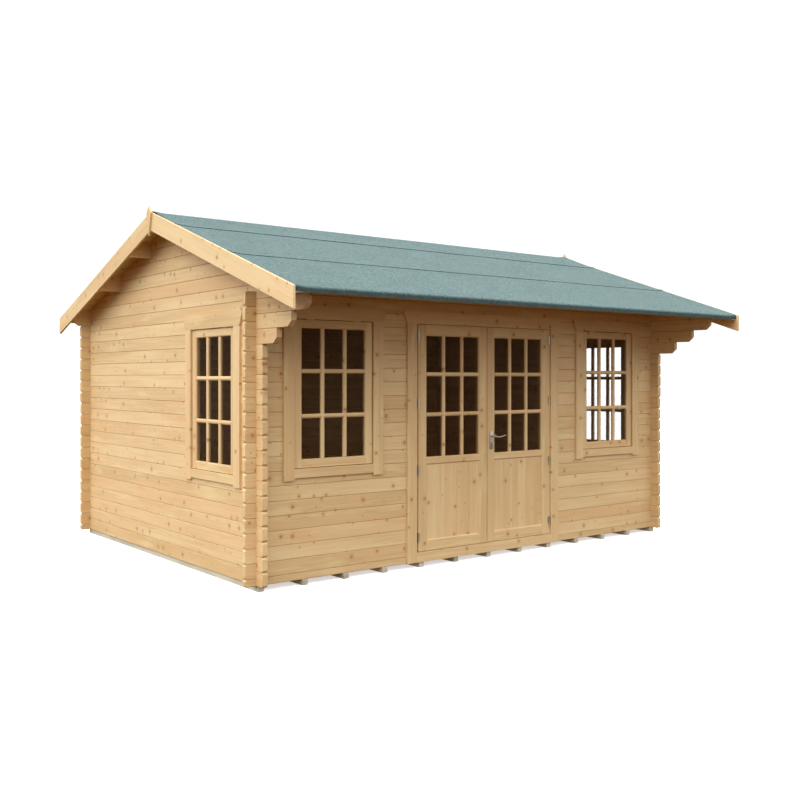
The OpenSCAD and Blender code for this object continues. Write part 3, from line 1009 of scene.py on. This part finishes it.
@dataclass
class RoofFelt:
    """Felt courses from the ridge down, each lapped over the next, turned down at the eaves."""

    pitch: float = math.radians(19.0)
    thickness: float = 0.0042
    lap: float = 0.075
    ridge_rise: float = 0.014
    ridge_spread: float = 0.22
    ridge_radius: float = 0.02
    lap_lift: float = 0.0004
    fold_radius: float = 0.016
    fold_steps: int = 5
    eave_painted_shade: float = 0.62
    cut_bitumen: float = 0.4
    end_bitumen: float = 0.8
    wave: float = 0.0008
    wave_turns: tuple[float, float, float] = (2.3, 5.4, 8.5)
    wave_slant: float = 4.0
    verge_rise: float = 0.0078
    verge_steps: tuple[float, ...] = (0.0, 0.012, 0.03, 0.055, 0.085, 0.12)
    length_steps: int = 60
    slope_steps: int = 10
    step_growth: float = 1.4
    lap_steps: tuple[float, ...] = (0.2, 0.6, 1.0)
    lap_slope: float = 2.5

    def build(self) -> None:
        """Makes the courses of both slopes."""
        _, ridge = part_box("felt_ridge")
        _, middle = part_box("felt_middle_courses")
        half = self._lapped(0.0, ridge.y)
        over = [(-y, z, painted_shade) for y, z, painted_shade in half[:0:-1]] + half
        self._course("felt_ridge_course", "felt_ridge", [over])
        half = self._lapped(ridge.y - self.lap, middle.y)
        self._course("felt_middle_strips", "felt_middle_courses", self._both(half))
        half = self._eave(middle.y - self.lap)
        self._course("felt_eave_strips", "felt_eave_courses", self._both(half))

    @staticmethod
    def _both(half: Line) -> list[Line]:
        """The same strip on the front and on the back slope."""
        return [[(side * y, z, painted_shade) for y, z, painted_shade in half] for side in (-1, 1)]

    def _top(self, y: float) -> float:
        """Works out the height of the felt's upper face.

        Args:
            y: distance from the ridge.

        Returns:
            The height.
        """
        _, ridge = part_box("felt_ridge")
        bulge = self.ridge_rise * math.exp(-(y / self.ridge_spread) ** 2)
        return ridge.z + bulge - math.hypot(y, self.ridge_radius) * math.tan(self.pitch)

    def _lapped(self, start: float, end: float) -> Line:
        """Upper line of a course that lies on the slope and laps over the next one.

        Args:
            start: distance of its upper edge from the ridge.
            end: distance of its lower edge from the ridge.

        Returns:
            Distance from the ridge, height and painted shade of each point, which is none on these
            courses.
        """
        line = []
        flat = end - self.lap
        for i in range(self.slope_steps + 1):
            y = start + (flat - start) * (i / self.slope_steps) ** self.step_growth
            line.append((y, self._top(y), 0.0))
        for share in self.lap_steps:
            y = flat + self.lap * share
            rise = self.thickness * min(1.0, share * self.lap_slope) + self.lap_lift * share
            line.append((y, self._top(y) + rise, 0.0))
        return line

    def _eave(self, start: float) -> Line:
        """Upper line of an eaves course, turned down over the batten.

        Args:
            start: distance of its upper edge from the ridge.

        Returns:
            Distance from the ridge, height and bareness of each point.
        """
        low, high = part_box("felt_eave_courses")
        turn_in = high.y - self.fold_radius
        line = []
        for i in range(self.slope_steps + 1):
            y = start + (turn_in - start) * i / self.slope_steps
            line.append((y, self._top(y), 0.0))
        reach = self.fold_radius / (1 - math.sin(self.pitch))
        for i in range(1, self.fold_steps + 1):
            turn = self.pitch + (math.pi / 2 - self.pitch) * i / self.fold_steps
            y = turn_in + reach * (math.sin(turn) - math.sin(self.pitch))
            z = self._top(turn_in) - reach * (math.cos(self.pitch) - math.cos(turn))
            # Painted shade: the fold darkens as it turns down to face the front.
            line.append((y, z, self.eave_painted_shade * (i / self.fold_steps) ** 2))
        line.append((high.y, low.z, self.eave_painted_shade))
        return line

    def _course(self, name: str, node: str, lines: list[Line]) -> None:
        """Sweeps strips along the roof, slightly wavy as laid felt is.

        Args:
            name: the piece's name.
            node: the node that it stands for.
            lines: the upper line of each strip.
        """
        low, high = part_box(node)
        chance = random.Random(zlib.crc32(name.encode()))
        inner = high.x - self.verge_steps[-1]
        along = [inner * (2 * k / self.length_steps - 1) for k in range(self.length_steps + 1)]
        ends = [high.x - step for step in self.verge_steps[-2::-1]]
        along = [-x for x in ends[::-1]] + along + ends
        mesh = bmesh.new()
        bitumen_and_painted_shade = mesh.faces.layers.float.new("bitumen_and_painted_shade")
        for line in lines:
            phases = [chance.uniform(0, math.tau) for _ in range(3)]
            rings = []
            for x in along:
                out = 1 - min(1.0, (high.x - abs(x)) / self.verge_steps[-1])
                rise = self.verge_rise * out * out * (3 - 2 * out)
                upper, lower = [], []
                for i, (y, z, _) in enumerate(line):
                    swell = sum(math.sin(x * turns + y * self.wave_slant + phase)
                                for turns, phase in zip(self.wave_turns, phases))
                    before, after = line[max(i - 1, 0)], line[min(i + 1, len(line) - 1)]
                    normal = Vector((0, before[1] - after[1], after[0] - before[0])).normalized()
                    normal = normal * (1 if after[0] > before[0] or y > 0 else -1)
                    slack = self.wave * swell / 3 * (abs(y) < high.y - self.lap)
                    point = Vector((x, y, z + slack + rise))
                    upper.append(mesh.verts.new(point))
                    lower.append(mesh.verts.new(point - normal * self.thickness))
                rings.append(upper + lower[::-1])
            count = len(rings[0])
            for here, there in zip(rings, rings[1:]):
                for i in range(count):
                    j = (i + 1) % count
                    face = mesh.faces.new((here[i], here[j], there[j], there[i]))
                    # The upper face takes the painted shade of its line; cut edges, ends and
                    # undersides show bitumen.
                    top = i < len(line) - 1
                    cut = self.cut_bitumen if j == len(line) else 1.0
                    face[bitumen_and_painted_shade] = (line[i][2] + line[i + 1][2]) / 2 if top else cut
            for ring in (rings[0], rings[-1]):
                for i in range(len(line) - 1):
                    face = mesh.faces.new((ring[i], ring[i + 1], ring[-2 - i], ring[-1 - i]))
                    face[bitumen_and_painted_shade] = self.end_bitumen
        bmesh.ops.recalc_face_normals(mesh, faces=mesh.faces[:])
        sheet = bpy.data.meshes.new(name)
        mesh.to_mesh(sheet)
        mesh.free()
        place(name, sheet, FELT, CABIN, node)


class Wall(Enum):
    """A wall that holds joinery, as the directions along it and into it."""

    FRONT = ((1, 0, 0), (0, 1, 0))
    LEFT = ((0, -1, 0), (1, 0, 0))
    RIGHT = ((0, 1, 0), (-1, 0, 0))


@dataclass(frozen=True)
class Spot:
    """A place on a wall: s runs along the wall, y is depth into it and z is height."""

    origin: Vector
    along: Vector
    inward: Vector

    def at(self, s: float, y: float, z: float) -> Vector:
        """Point from its place along, into and up the wall."""
        return self.origin + self.along * s + self.inward * y + Vector((0, 0, z))

    def stick(self, timber: Timber, section: Section, ends: tuple[float, float], upright: bool,
              bevel: float) -> None:
        """Adds a stick of any section to a piece.

        Args:
            timber: the piece.
            section: outline as place across and depth, across being s if upright, else z.
            ends: low and high end along the stick.
            upright: whether the stick stands upright.
            bevel: width of its eased edges.
        """
        first, last = ends
        if upright:
            outline = [self.at(s, y, first) for s, y in section]
            timber.prism(outline, UP * (last - first), Lay(UP, self.along, self.inward), bevel)
        else:
            outline = [self.at(first, y, z) for z, y in section]
            lay = Lay(self.along, UP, self.inward)
            timber.prism(outline, self.along * (last - first), lay, bevel)


def spot_of(node: str, wall: Wall) -> tuple[Spot, Vector]:
    """Place of a node on its wall.

    Args:
        node: the node's name.
        wall: the wall that holds it.

    Returns:
        Its spot, with the origin low at the middle of its outer face, and its size along,
        into and up the wall.
    """
    low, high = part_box(node)
    along, inward = (Vector(way) for way in wall.value)
    face = [low[i] if inward[i] > 0 else high[i] if inward[i] < 0 else (low[i] + high[i]) / 2
            for i in range(2)]
    size = high - low
    spans = Vector((abs(size.dot(along)), abs(size.dot(inward)), size.z))
    return Spot(Vector((*face, low.z)), along, inward), spans


def rebated(outer: float, inner: float, stop: float, depths: tuple[float, float, float]) -> Section:
    """Section of a frame's board with a stop for the sash or leaf.

    Args:
        outer: place of its outer edge.
        inner: place of its inner edge, beside the sash.
        stop: place of the stop's edge, behind the sash.
        depths: depth of its face, of the stop's face and of its back.

    Returns:
        The outline as place across and depth.
    """
    face, rest, back = depths
    return [(outer, face), (inner, face), (inner, rest), (stop, rest), (stop, back), (outer, back)]


class Metalwork:
    """Small metal parts of one piece, gathered into one mesh."""

    SIDES = 20

    def __init__(self, name: str) -> None:
        """Starts an empty piece."""
        self.name = name
        self.mesh = bmesh.new()

    def tube(self, path: Sequence[Vector], radii: Sequence[float], flat: float = 1.0) -> None:
        """Adds a round bar that follows a path, closed at both ends.

        Args:
            path: points on its centre line.
            radii: radius at each point.
            flat: share of the radius kept in height.
        """
        rings = []
        for i, point in enumerate(path):
            ahead = path[min(i + 1, len(path) - 1)] - path[max(i - 1, 0)]
            across = ahead.cross(UP).normalized()
            up = across.cross(ahead).normalized()
            turns = [math.tau * k / self.SIDES for k in range(self.SIDES)]
            round_it = [across * math.cos(t) + up * math.sin(t) * flat for t in turns]
            rings.append([self.mesh.verts.new(point + way * radii[i]) for way in round_it])
        for here, there in zip(rings, rings[1:]):
            for k in range(self.SIDES):
                j = (k + 1) % self.SIDES
                self.mesh.faces.new((here[k], here[j], there[j], there[k]))
        self.mesh.faces.new(rings[0][::-1])
        self.mesh.faces.new(rings[-1])

    def slab(self, outline: Sequence[Vector], sweep: Vector, bevel: float) -> None:
        """Adds a plate of any outline with eased edges.

        Args:
            outline: corners of one face, in order.
            sweep: from that face to the opposite one.
            bevel: width of the eased edges.
        """
        part = block(outline, sweep)
        ease(part, bevel)
        scrap = bpy.data.meshes.new("slab")
        part.to_mesh(scrap)
        part.free()
        self.mesh.from_mesh(scrap)
        bpy.data.meshes.remove(scrap)

    def build(self, finish: "Finish", body: str, *nodes: str) -> bpy.types.Object:
        """Makes the piece.

        Args:
            finish: its material.
            body: the body that carries it.
            nodes: the CAD nodes that it stands for.

        Returns:
            The piece.
        """
        bmesh.ops.recalc_face_normals(self.mesh, faces=self.mesh.faces[:])
        mesh = bpy.data.meshes.new(self.name)
        self.mesh.to_mesh(mesh)
        self.mesh.free()
        for face in mesh.polygons:
            face.use_smooth = True
        mesh.set_sharp_from_angle(angle=math.radians(35))
        return place(self.name, mesh, finish, body, *nodes)


@dataclass
class SashHinge:
    """Butt hinge over the gap between a sash and its frame."""

    half: float = 0.035
    pin_radius: float = 0.0045
    knuckles: int = 5
    knuckle_gap: float = 0.0008
    leaf_half: float = 0.0006
    leaf_reach: float = 0.024
    leaf_edge: float = 0.0002

    def add(self, metal: Metalwork, spot: Spot, s: float, z: float) -> None:
        """Adds the hinge to a piece.

        Args:
            metal: the piece.
            spot: the sash's place.
            s: the hinge's middle along the wall.
            z: height of the pin.
        """
        step = 2 * self.half / self.knuckles
        for k in range(self.knuckles):
            first = s - self.half + step * k + self.knuckle_gap / 2
            ends = [spot.at(first, 0.0, z), spot.at(first + step - self.knuckle_gap, 0.0, z)]
            metal.tube(ends, [self.pin_radius] * 2)
        leaf = [spot.at(s + side * self.half, 0.0, z + edge * self.leaf_half)
                for side, edge in ((-1, -1), (1, -1), (1, 1), (-1, 1))]
        metal.slab(leaf, spot.inward * self.leaf_reach, self.leaf_edge)


@dataclass
class Lattice:
    """Stiles, rails and glazing bars with moulded edges."""

    stile: float
    rail_low: float
    rail_top: float
    bar: float
    moulding: float
    bar_moulding: float
    bar_set: float
    eased_edge: float
    bar_slope: float = 0.8

    def _edge(self, outside: float, inside: float, depth: float) -> Section:
        """Section of a stile or rail from its outside edge to its moulded inside edge."""
        sign = math.copysign(1, outside - inside)
        return [(outside, 0), (inside + sign * self.moulding, 0), (inside, self.moulding),
                (inside, depth), (outside, depth)]

    def border(self, timber: Timber, spot: Spot, half: float, span: tuple[float, float],
               depth: float) -> None:
        """Adds the two stiles and the top and bottom rails.

        Args:
            timber: the piece.
            spot: its place.
            half: half of its width.
            span: its low and high end.
            depth: its depth.
        """
        low, high = span
        for sign in (-1, 1):
            section = self._edge(sign * half, sign * (half - self.stile), depth)
            spot.stick(timber, section, span, True, self.eased_edge)
        reach = half - self.stile + self.moulding
        self.rail(timber, spot, reach, self._edge(low, low + self.rail_low, depth))
        self.rail(timber, spot, reach, self._edge(high, high - self.rail_top, depth))

    def rail(self, timber: Timber, spot: Spot, reach: float, section: Section) -> None:
        """Adds one rail between the stiles."""
        spot.stick(timber, section, (-reach, reach), False, self.eased_edge)

    def bars(self, timber: Timber, spot: Spot, half: float, span: tuple[float, float],
             rows: Sequence[float], depth: float) -> None:
        """Adds glazing bars that part an opening into three columns.

        Args:
            timber: the piece.
            spot: its place.
            half: half of the opening's width.
            span: the opening's low and high end.
            rows: heights of the level bars' centre lines.
            depth: depth of the bars.
        """
        step = (2 * half + self.bar) / 3
        for i in (1, 2):
            section = self._bar(-half + i * step - self.bar / 2, self.bar_set, depth)
            spot.stick(timber, section, span, True, self.eased_edge / 2)
        for centre in rows:
            section = self._bar(centre, 2 * self.bar_set, depth)
            spot.stick(timber, section, (-half, half), False, self.eased_edge / 2)

    def _bar(self, centre: float, face: float, depth: float) -> Section:
        """Works out the section of a glazing bar, moulded on both faces.

        Args:
            centre: place of its centre line.
            face: depth of its outer face.
            depth: depth of the sash or leaf that holds it.

        Returns:
            The outline as place across and depth.
        """
        wide, slim = self.bar / 2, self.bar / 2 - self.bar_moulding
        cut = face + self.bar_moulding * self.bar_slope
        front = [(-wide, cut), (-slim, face), (slim, face), (wide, cut)]
        outline = front + [(across, depth - y) for across, y in front[::-1]]
        return [(centre + across, y) for across, y in outline]


@dataclass
class Window:
    """A top-hung window: a rebated frame, a sash of nine panes and two hinges."""

    wall: Wall
    sash: str
    stile: float = 0.067
    bar: float = 0.034
    moulding: float = 0.007
    bar_moulding: float = 0.010
    frame_face: float = 0.030
    clearance: float = 0.003
    rebate: float = 0.012
    frame_depth: float = 0.058
    bar_set: float = 0.0006
    eased_edge: float = 0.0012
    frame_set: float = 0.004
    hinge_spread: float = 0.60
    gap_shade: tuple[float, float] = (0.0004, 0.0070)
    gap_shade_set: float = 0.0034
    gap_shade_depth: float = 0.004
    gap_shade_edge: float = 0.0003

    def build(self, frames: Timber, hinges: Metalwork, gap_shades: Metalwork) -> None:
        """Makes the sash, and adds the frame, the hinges and the painted shade of the gaps to their
        pieces.

        Args:
            frames: the piece that holds all window frames.
            hinges: the piece that holds all window hinges.
            gap_shades: the piece that holds the painted shade strips in the gaps of all windows.
        """
        spot, size = spot_of(self.sash, self.wall)
        half, depth, height = size.x / 2, size.y, size.z
        timber = Timber(f"{self.sash}_wood")
        lattice = Lattice(self.stile, self.stile, self.stile, self.bar, self.moulding,
                          self.bar_moulding, self.bar_set, self.eased_edge)
        lattice.border(timber, spot, half, (0.0, height), depth)
        low, high = self.stile, height - self.stile
        rows = [low + (high - low + self.bar) * i / 3 - self.bar / 2 for i in (1, 2)]
        lattice.bars(timber, spot, half - self.stile, (low, high), rows, depth)
        timber.build(JOINERY_PINE, CABIN, self.sash)
        self._frame(frames, spot, half, height, depth)
        for sign in (-1, 1):
            SashHinge().add(hinges, spot, sign * half * self.hinge_spread,
                            height + self.clearance / 2)
        self._gap_shades(gap_shades, spot, half, height)

    def _gap_shades(self, gap_shades: Metalwork, spot: Spot, half: float, height: float) -> None:
        """Adds a strip of painted shade in the gap on each side of the sash.

        Args:
            gap_shades: the piece that holds the painted shade strips in the gaps of all windows.
            spot: the sash's place.
            half: half of the sash's width.
            height: the sash's height.
        """
        # Painted shade: near-black strips stand for the shadow in the gaps round the sash.
        near, far = self.gap_shade
        for sign in (-1, 1):
            edge = height / 2 + sign * height / 2
            upright = ((sign * (half + near), sign * (half + far)), (-far, height + far))
            level = ((-half - near, half + near), (edge + sign * near, edge + sign * far))
            for (left, right), (low, high) in (upright, level):
                corners = [spot.at(s, self.gap_shade_set, z)
                           for s, z in ((left, low), (right, low), (right, high), (left, high))]
                gap_shades.slab(corners, spot.inward * self.gap_shade_depth, self.gap_shade_edge)

    def _frame(self, frames: Timber, spot: Spot, half: float, height: float,
               depth: float) -> None:
        """Adds the four boards of the frame, each with a stop behind the sash.

        Args:
            frames: the piece that holds all window frames.
            spot: the sash's place.
            half: half of the sash's width.
            height: the sash's height.
            depth: the sash's depth.
        """
        inner, stop = half + self.clearance, half - self.rebate
        outer = inner + self.frame_face
        low, high = half - outer, height - half + outer
        depths = (self.frame_set, depth, self.frame_set + self.frame_depth)
        for sign in (-1, 1):
            jamb = rebated(sign * outer, sign * inner, sign * stop, depths)
            spot.stick(frames, jamb, (low, high), True, self.eased_edge)
        for edge, shut, sign in ((low, self.rebate, 1), (high, height - self.rebate, -1)):
            rail = rebated(edge, edge + sign * self.frame_face, shut, depths)
            spot.stick(frames, rail, (-inner, inner), False, self.eased_edge)


@dataclass
class DoorLeaf:
    """One leaf of the double doors: nine panes over a panel of upright staves."""

    side: str
    stile: float = 0.096
    rail_low: float = 0.095
    rail_top: float = 0.095
    panel_height: float = 0.649
    rail_mid: float = 0.066
    pane_height: float = 0.316
    bar: float = 0.034
    moulding: float = 0.009
    bar_moulding: float = 0.010
    bar_set: float = 0.0006
    eased_edge: float = 0.0012
    panel_face: float = 0.011
    panel_back: float = 0.029
    staves: int = 6
    stave_edge: float = 0.0003

    def build(self) -> None:
        """Makes the leaf and its panel."""
        body = f"{self.side}_door"
        spot, size = spot_of(f"{self.side}_leaf", Wall.FRONT)
        half, depth, height = size.x / 2, size.y, size.z
        leaf = Timber(f"{self.side}_leaf_wood")
        lattice = Lattice(self.stile, self.rail_low, self.rail_top, self.bar, self.moulding,
                          self.bar_moulding, self.bar_set, self.eased_edge)
        lattice.border(leaf, spot, half, (0.0, height), depth)
        panel_top = self.rail_low + self.panel_height
        glazing = (panel_top + self.rail_mid, height - self.rail_top)
        cut = self.moulding
        middle = [(panel_top, depth), (panel_top, cut), (panel_top + cut, 0),
                  (glazing[0] - cut, 0), (glazing[0], cut), (glazing[0], depth)]
        lattice.rail(leaf, spot, half - self.stile + cut, middle)
        rows = [glazing[1] - i * self.pane_height - (i - 0.5) * self.bar for i in (1, 2)]
        lattice.bars(leaf, spot, half - self.stile, glazing, rows, depth)
        leaf.build(JOINERY_PINE, body, f"{self.side}_leaf")
        panel = Timber(f"{self.side}_panel_staves")
        wide = half - self.stile
        step = 2 * wide / self.staves
        for i in range(self.staves):
            left = -wide + i * step
            section = [(left, self.panel_face), (left + step, self.panel_face),
                       (left + step, self.panel_back), (left, self.panel_back)]
            spot.stick(panel, section, (self.rail_low, panel_top), True, self.stave_edge)
        panel.build(JOINERY_PINE, body, f"{self.side}_panel")


@dataclass
class DoorFrame:
    """Rebated frame round the double doors."""

    jamb: float = 0.045
    stop: float = 0.015
    rebate_depth: float = 0.038
    eased_edge: float = 0.0012

    def build(self) -> None:
        """Makes two jambs and the head."""
        spot, size = spot_of("door_frame", Wall.FRONT)
        outer, high = size.x / 2, size.z
        inner, near = outer - self.jamb, high - self.jamb
        depths = (0.0, self.rebate_depth, size.y)
        timber = Timber("door_frame_wood")
        for sign in (-1, 1):
            jamb = rebated(sign * outer, sign * inner, sign * (inner - self.stop), depths)
            spot.stick(timber, jamb, (0.0, high), True, self.eased_edge)
        head = rebated(high, near, near - self.stop, depths)
        spot.stick(timber, head, (-inner, inner), False, self.eased_edge)
        timber.build(JOINERY_PINE, CABIN, "door_frame")


@dataclass
class Joinery:
    """Windows, doors, trims and their metalwork."""

    windows: tuple[tuple[Wall, str], ...] = (
        (Wall.FRONT, "sash_front_left"), (Wall.FRONT, "sash_front_right"),
        (Wall.LEFT, "sash_left_gable"), (Wall.RIGHT, "sash_right_gable"))
    eased_edge: float = 0.0015

    def build(self) -> None:
        """Makes all joinery."""
        frames, hinges = Timber("window_frames_wood"), Metalwork("window_hinges")
        # This piece holds strips of painted shade for the gaps round the sashes.
        gap_shades = Metalwork("window_gap_shades")
        for wall, sash in self.windows:
            Window(wall, sash).build(frames, hinges, gap_shades)
        frames.build(JOINERY_PINE, CABIN, "window_frames")
        hinges.build(STEEL, CABIN)
        gap_shades.build(GAP_SHADE, CABIN)
        for node in ("head_trims", "side_trims", "sill_trims", "threshold"):
            trims = Timber(f"{node}_wood")
            trims.adopt(node, bevel=self.eased_edge)
            trims.build(JOINERY_PINE, CABIN, node)
        DoorFrame().build()
        for side in ("left", "right"):
            DoorLeaf(side).build()
            dress(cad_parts[f"{side}_glass"], GLASS)
            dress(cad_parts[f"{side}_hinges"], STEEL)
        dress(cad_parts["window_glass"], GLASS)
        dress(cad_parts["hinge_posts"], STEEL)
        Handle().build()


@dataclass
class Handle:
    """Lever handles on rounded back plates, with a keyhole below drawn as a patch of painted shade.
    """

    plate_thickness: float = 0.008
    plate_edge: float = 0.002
    corner_steps: int = 8
    keyhole_drop: float = 0.065
    keyhole_radius: float = 0.0045
    keyhole_foot: float = 0.016
    keyhole_stand: float = 0.0003
    keyhole_depth: float = 0.002
    keyhole_edge: float = 0.0001
    spindle_radius: float = 0.005
    spindle_overlap: float = 0.001
    neck_radius: float = 0.0085
    neck_start: float = 0.0004
    collar: float = 0.004
    collar_flare: float = 1.25
    neck_waist: float = 0.9
    bend: float = 0.014
    bend_steps: int = 5
    grip_radius: float = 0.0078
    grip_swell: float = 1.05
    grip_taper: float = 0.25
    grip_steps: int = 14
    grip_flatness: float = 0.9
    wave: float = 1.35
    sag: float = 0.007
    tip: tuple[float, float, float] = (0.003, 0.0, 0.0006)
    tip_share: float = 0.35
    tip_room: float = 0.4

    def build(self) -> None:
        """Makes the plates, the painted shade of the keyholes and the lever with both grips."""
        low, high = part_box("handle_plates")
        lever_low, lever_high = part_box("lever_handle")
        x, z = (low.x + high.x) / 2, (lever_low.z + lever_high.z) / 2
        half = (high.x - low.x) / 2
        plates, keyhole_shades = Metalwork("handle_back_plates"), Metalwork("keyhole_shade_patches")
        lever = Metalwork("lever")
        for face, out, end in ((low.y, -1, lever_low.y), (high.y, 1, lever_high.y)):
            turns = [math.pi * k / self.corner_steps for k in range(self.corner_steps + 1)]
            plate = [(x + half * math.cos(t), high.z - half + half * math.sin(t)) for t in turns]
            plate += [(x - half * math.cos(t), low.z + half - half * math.sin(t)) for t in turns]
            plates.slab([Vector((a, face, b)) for a, b in plate],
                        INWARD * (-out * self.plate_thickness), self.plate_edge)
            # Painted shade: a dark patch in the keyhole's shape stands for its hollow.
            hole = [Vector((x + a, face + out * self.keyhole_stand, z - self.keyhole_drop + b))
                    for a, b in self._keyhole()]
            keyhole_shades.slab(hole, INWARD * (-out * self.keyhole_depth), self.keyhole_edge)
            self._grip(lever, Vector((x, face, z)), end, lever_high.x)
        plates.build(STEEL, "right_door", "handle_plates")
        keyhole_shades.build(KEYHOLE_SHADE, "right_door")
        ends = [Vector((x, low.y - self.spindle_overlap, z)),
                Vector((x, high.y + self.spindle_overlap, z))]
        lever.tube(ends, [self.spindle_radius] * 2)
        lever.build(STEEL, "lever", "lever_handle")

    def _keyhole(self) -> Section:
        """Draws a keyhole: a round top over a straight slot.

        Returns:
            Its outline round the middle of the round top.
        """
        r = self.keyhole_radius
        turns = [math.radians(degrees) for degrees in range(-60, 241, 30)]
        slot = [(-r / 2, -self.keyhole_foot), (r / 2, -self.keyhole_foot)]
        return [(r * math.cos(t), r * math.sin(t)) for t in turns] + slot

    def _grip(self, lever: Metalwork, root: Vector, end: float, tip: float) -> None:
        """Adds a neck that turns into a slightly waved grip.

        Args:
            lever: the piece.
            root: where the neck leaves the back plate.
            end: depth of the grip's outer side.
            tip: place of the grip's end along the wall.
        """
        out = math.copysign(1, end - root.y)
        centre = end - out * self.grip_radius
        start = root.y + out * self.neck_start
        waist = self.neck_radius * self.neck_waist
        path = [(0.0, start, 0.0), (0.0, start + out * self.collar, 0.0),
                (0.0, centre - out * self.bend, 0.0)]
        radii = [self.neck_radius * self.collar_flare, self.neck_radius, waist]
        for k in range(1, self.bend_steps + 1):
            turn = math.pi / 2 * k / self.bend_steps
            path.append((self.bend * (1 - math.cos(turn)),
                         centre - out * self.bend * (1 - math.sin(turn)), 0.0))
            radii.append(waist)
        length = tip - root.x - self.bend - self.grip_radius * self.tip_room
        for k in range(1, self.grip_steps + 1):
            share = k / self.grip_steps
            rise = -math.sin(share * math.pi * self.wave) * self.sag
            path.append((self.bend + length * share, centre, rise))
            radii.append(self.grip_radius * (self.grip_swell - self.grip_taper * share))
        points = [Vector((root.x + along, depth, root.z + rise)) for along, depth, rise in path]
        points.append(points[-1] + Vector(self.tip))
        radii.append(self.grip_radius * self.tip_share)
        lever.tube(points, radii, self.grip_flatness)


# ---------------------------------------------------------------- the studio


@dataclass
class Studio:
    """Pale floor, soft light and the camera."""

    eye: tuple[float, float, float] = (-6.026, -7.930, 1.633)
    heading: float = math.radians(-37.8)
    lens: float = 43.36
    rise: float = -0.028
    backdrop: float = 1.1
    pane_gain: float = 0.37
    horizon: float = 0.68
    zenith: float = 2.65
    dusk: float = 0.14
    dusk_tone: Colour = (1.0, 0.52, 0.14)
    dusk_edge: tuple[float, float] = (-0.20, -0.04)
    key_strength: float = 1.14
    key_spread: float = math.radians(50)
    key_heading: float = math.radians(5)
    key_height: float = math.radians(30)
    floor_half: float = 60.0
    floor_tone: float = 0.93
    floor_roughness: float = 0.9
    floor_glow: float = 0.55

    def build(self) -> None:
        """Makes the floor, the lights and the camera."""
        self._floor()
        self._sky()
        self._key()
        self._camera()

    def _floor(self) -> None:
        """Lays the pale floor."""
        half = self.floor_half
        mesh = bpy.data.meshes.new("studio_floor")
        corners = [(-half, -half, 0), (half, -half, 0), (half, half, 0), (-half, half, 0)]
        mesh.from_pydata(corners, [], [(0, 1, 2, 3)])
        floor = bpy.data.objects.new("studio_floor", mesh)
        bpy.context.scene.collection.objects.link(floor)
        tone = self.floor_tone
        mesh.materials.append(Paint("studio_floor").surface({
            "Base Color": (tone, tone, tone, 1.0), "Roughness": self.floor_roughness,
            "Specular IOR Level": 0.0, "Emission Color": (1.0, 1.0, 1.0, 1.0),
            "Emission Strength": self.floor_glow}))
        floor.visible_diffuse = False
        floor.visible_glossy = False

    def _sky(self) -> None:
        """Sets a white sky, brighter overhead, that turns dark well below the horizon."""
        world = bpy.data.worlds.new("studio_sky")
        world.use_nodes = True
        bpy.context.scene.world = world
        graph = Graph(world.node_tree)
        _, _, height = graph.split(graph.node("ShaderNodeTexCoord", {}, {}, "Generated"))
        above = height.fade(*self.dusk_edge)
        dome = above * (self.horizon - self.dusk) + self.dusk
        dome = dome + height.math("MAXIMUM", height, 0.0) * (self.zenith - self.horizon)
        seen = graph.node("ShaderNodeLightPath", {}, {}, "Is Camera Ray")
        panes = graph.node("ShaderNodeLightPath", {}, {}, "Transparent Depth")
        strength = dome + seen * ((panes * self.pane_gain + 1.0) * self.backdrop - dome)
        tone = graph.mix(above, self.dusk_tone, (1.0, 1.0, 1.0))
        light = graph.node("ShaderNodeBackground", {}, {"Color": tone, "Strength": strength})
        graph.node("ShaderNodeOutputWorld", {}, {"Surface": light})

    def _key(self) -> None:
        """Hangs one large soft light on the left."""
        lamp = bpy.data.lights.new("key_light", "SUN")
        lamp.energy = self.key_strength
        lamp.angle = self.key_spread
        key = bpy.data.objects.new("key_light", lamp)
        level = math.cos(self.key_height)
        towards = Vector((-level * math.cos(self.key_heading), -level * math.sin(self.key_heading),
                          math.sin(self.key_height)))
        key.rotation_euler = towards.to_track_quat("Z", "Y").to_euler()
        bpy.context.scene.collection.objects.link(key)

    def _camera(self) -> None:
        """Sets the camera at a standing person's eye height, level, before the left corner."""
        optics = bpy.data.cameras.new("camera")
        optics.lens = self.lens
        optics.sensor_width = 36.0
        optics.shift_y = self.rise
        camera = bpy.data.objects.new("camera", optics)
        camera.location = self.eye
        camera.rotation_euler = (math.radians(90), 0, self.heading)
        bpy.context.scene.collection.objects.link(camera)
        bpy.context.scene.camera = camera


def main() -> None:
    """Builds the cabin and its studio."""
    logging.basicConfig(level=logging.INFO, format="%(name)s: %(message)s")
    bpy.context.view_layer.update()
    bpy.context.scene.view_settings.view_transform = "Standard"
    for part in (Base(), LogWalls(), Roof(), RoofFelt(), Joinery(), Studio()):
        part.build()
        LOG.info("%s built", type(part).__name__)


if __name__ == "__main__":
    main()
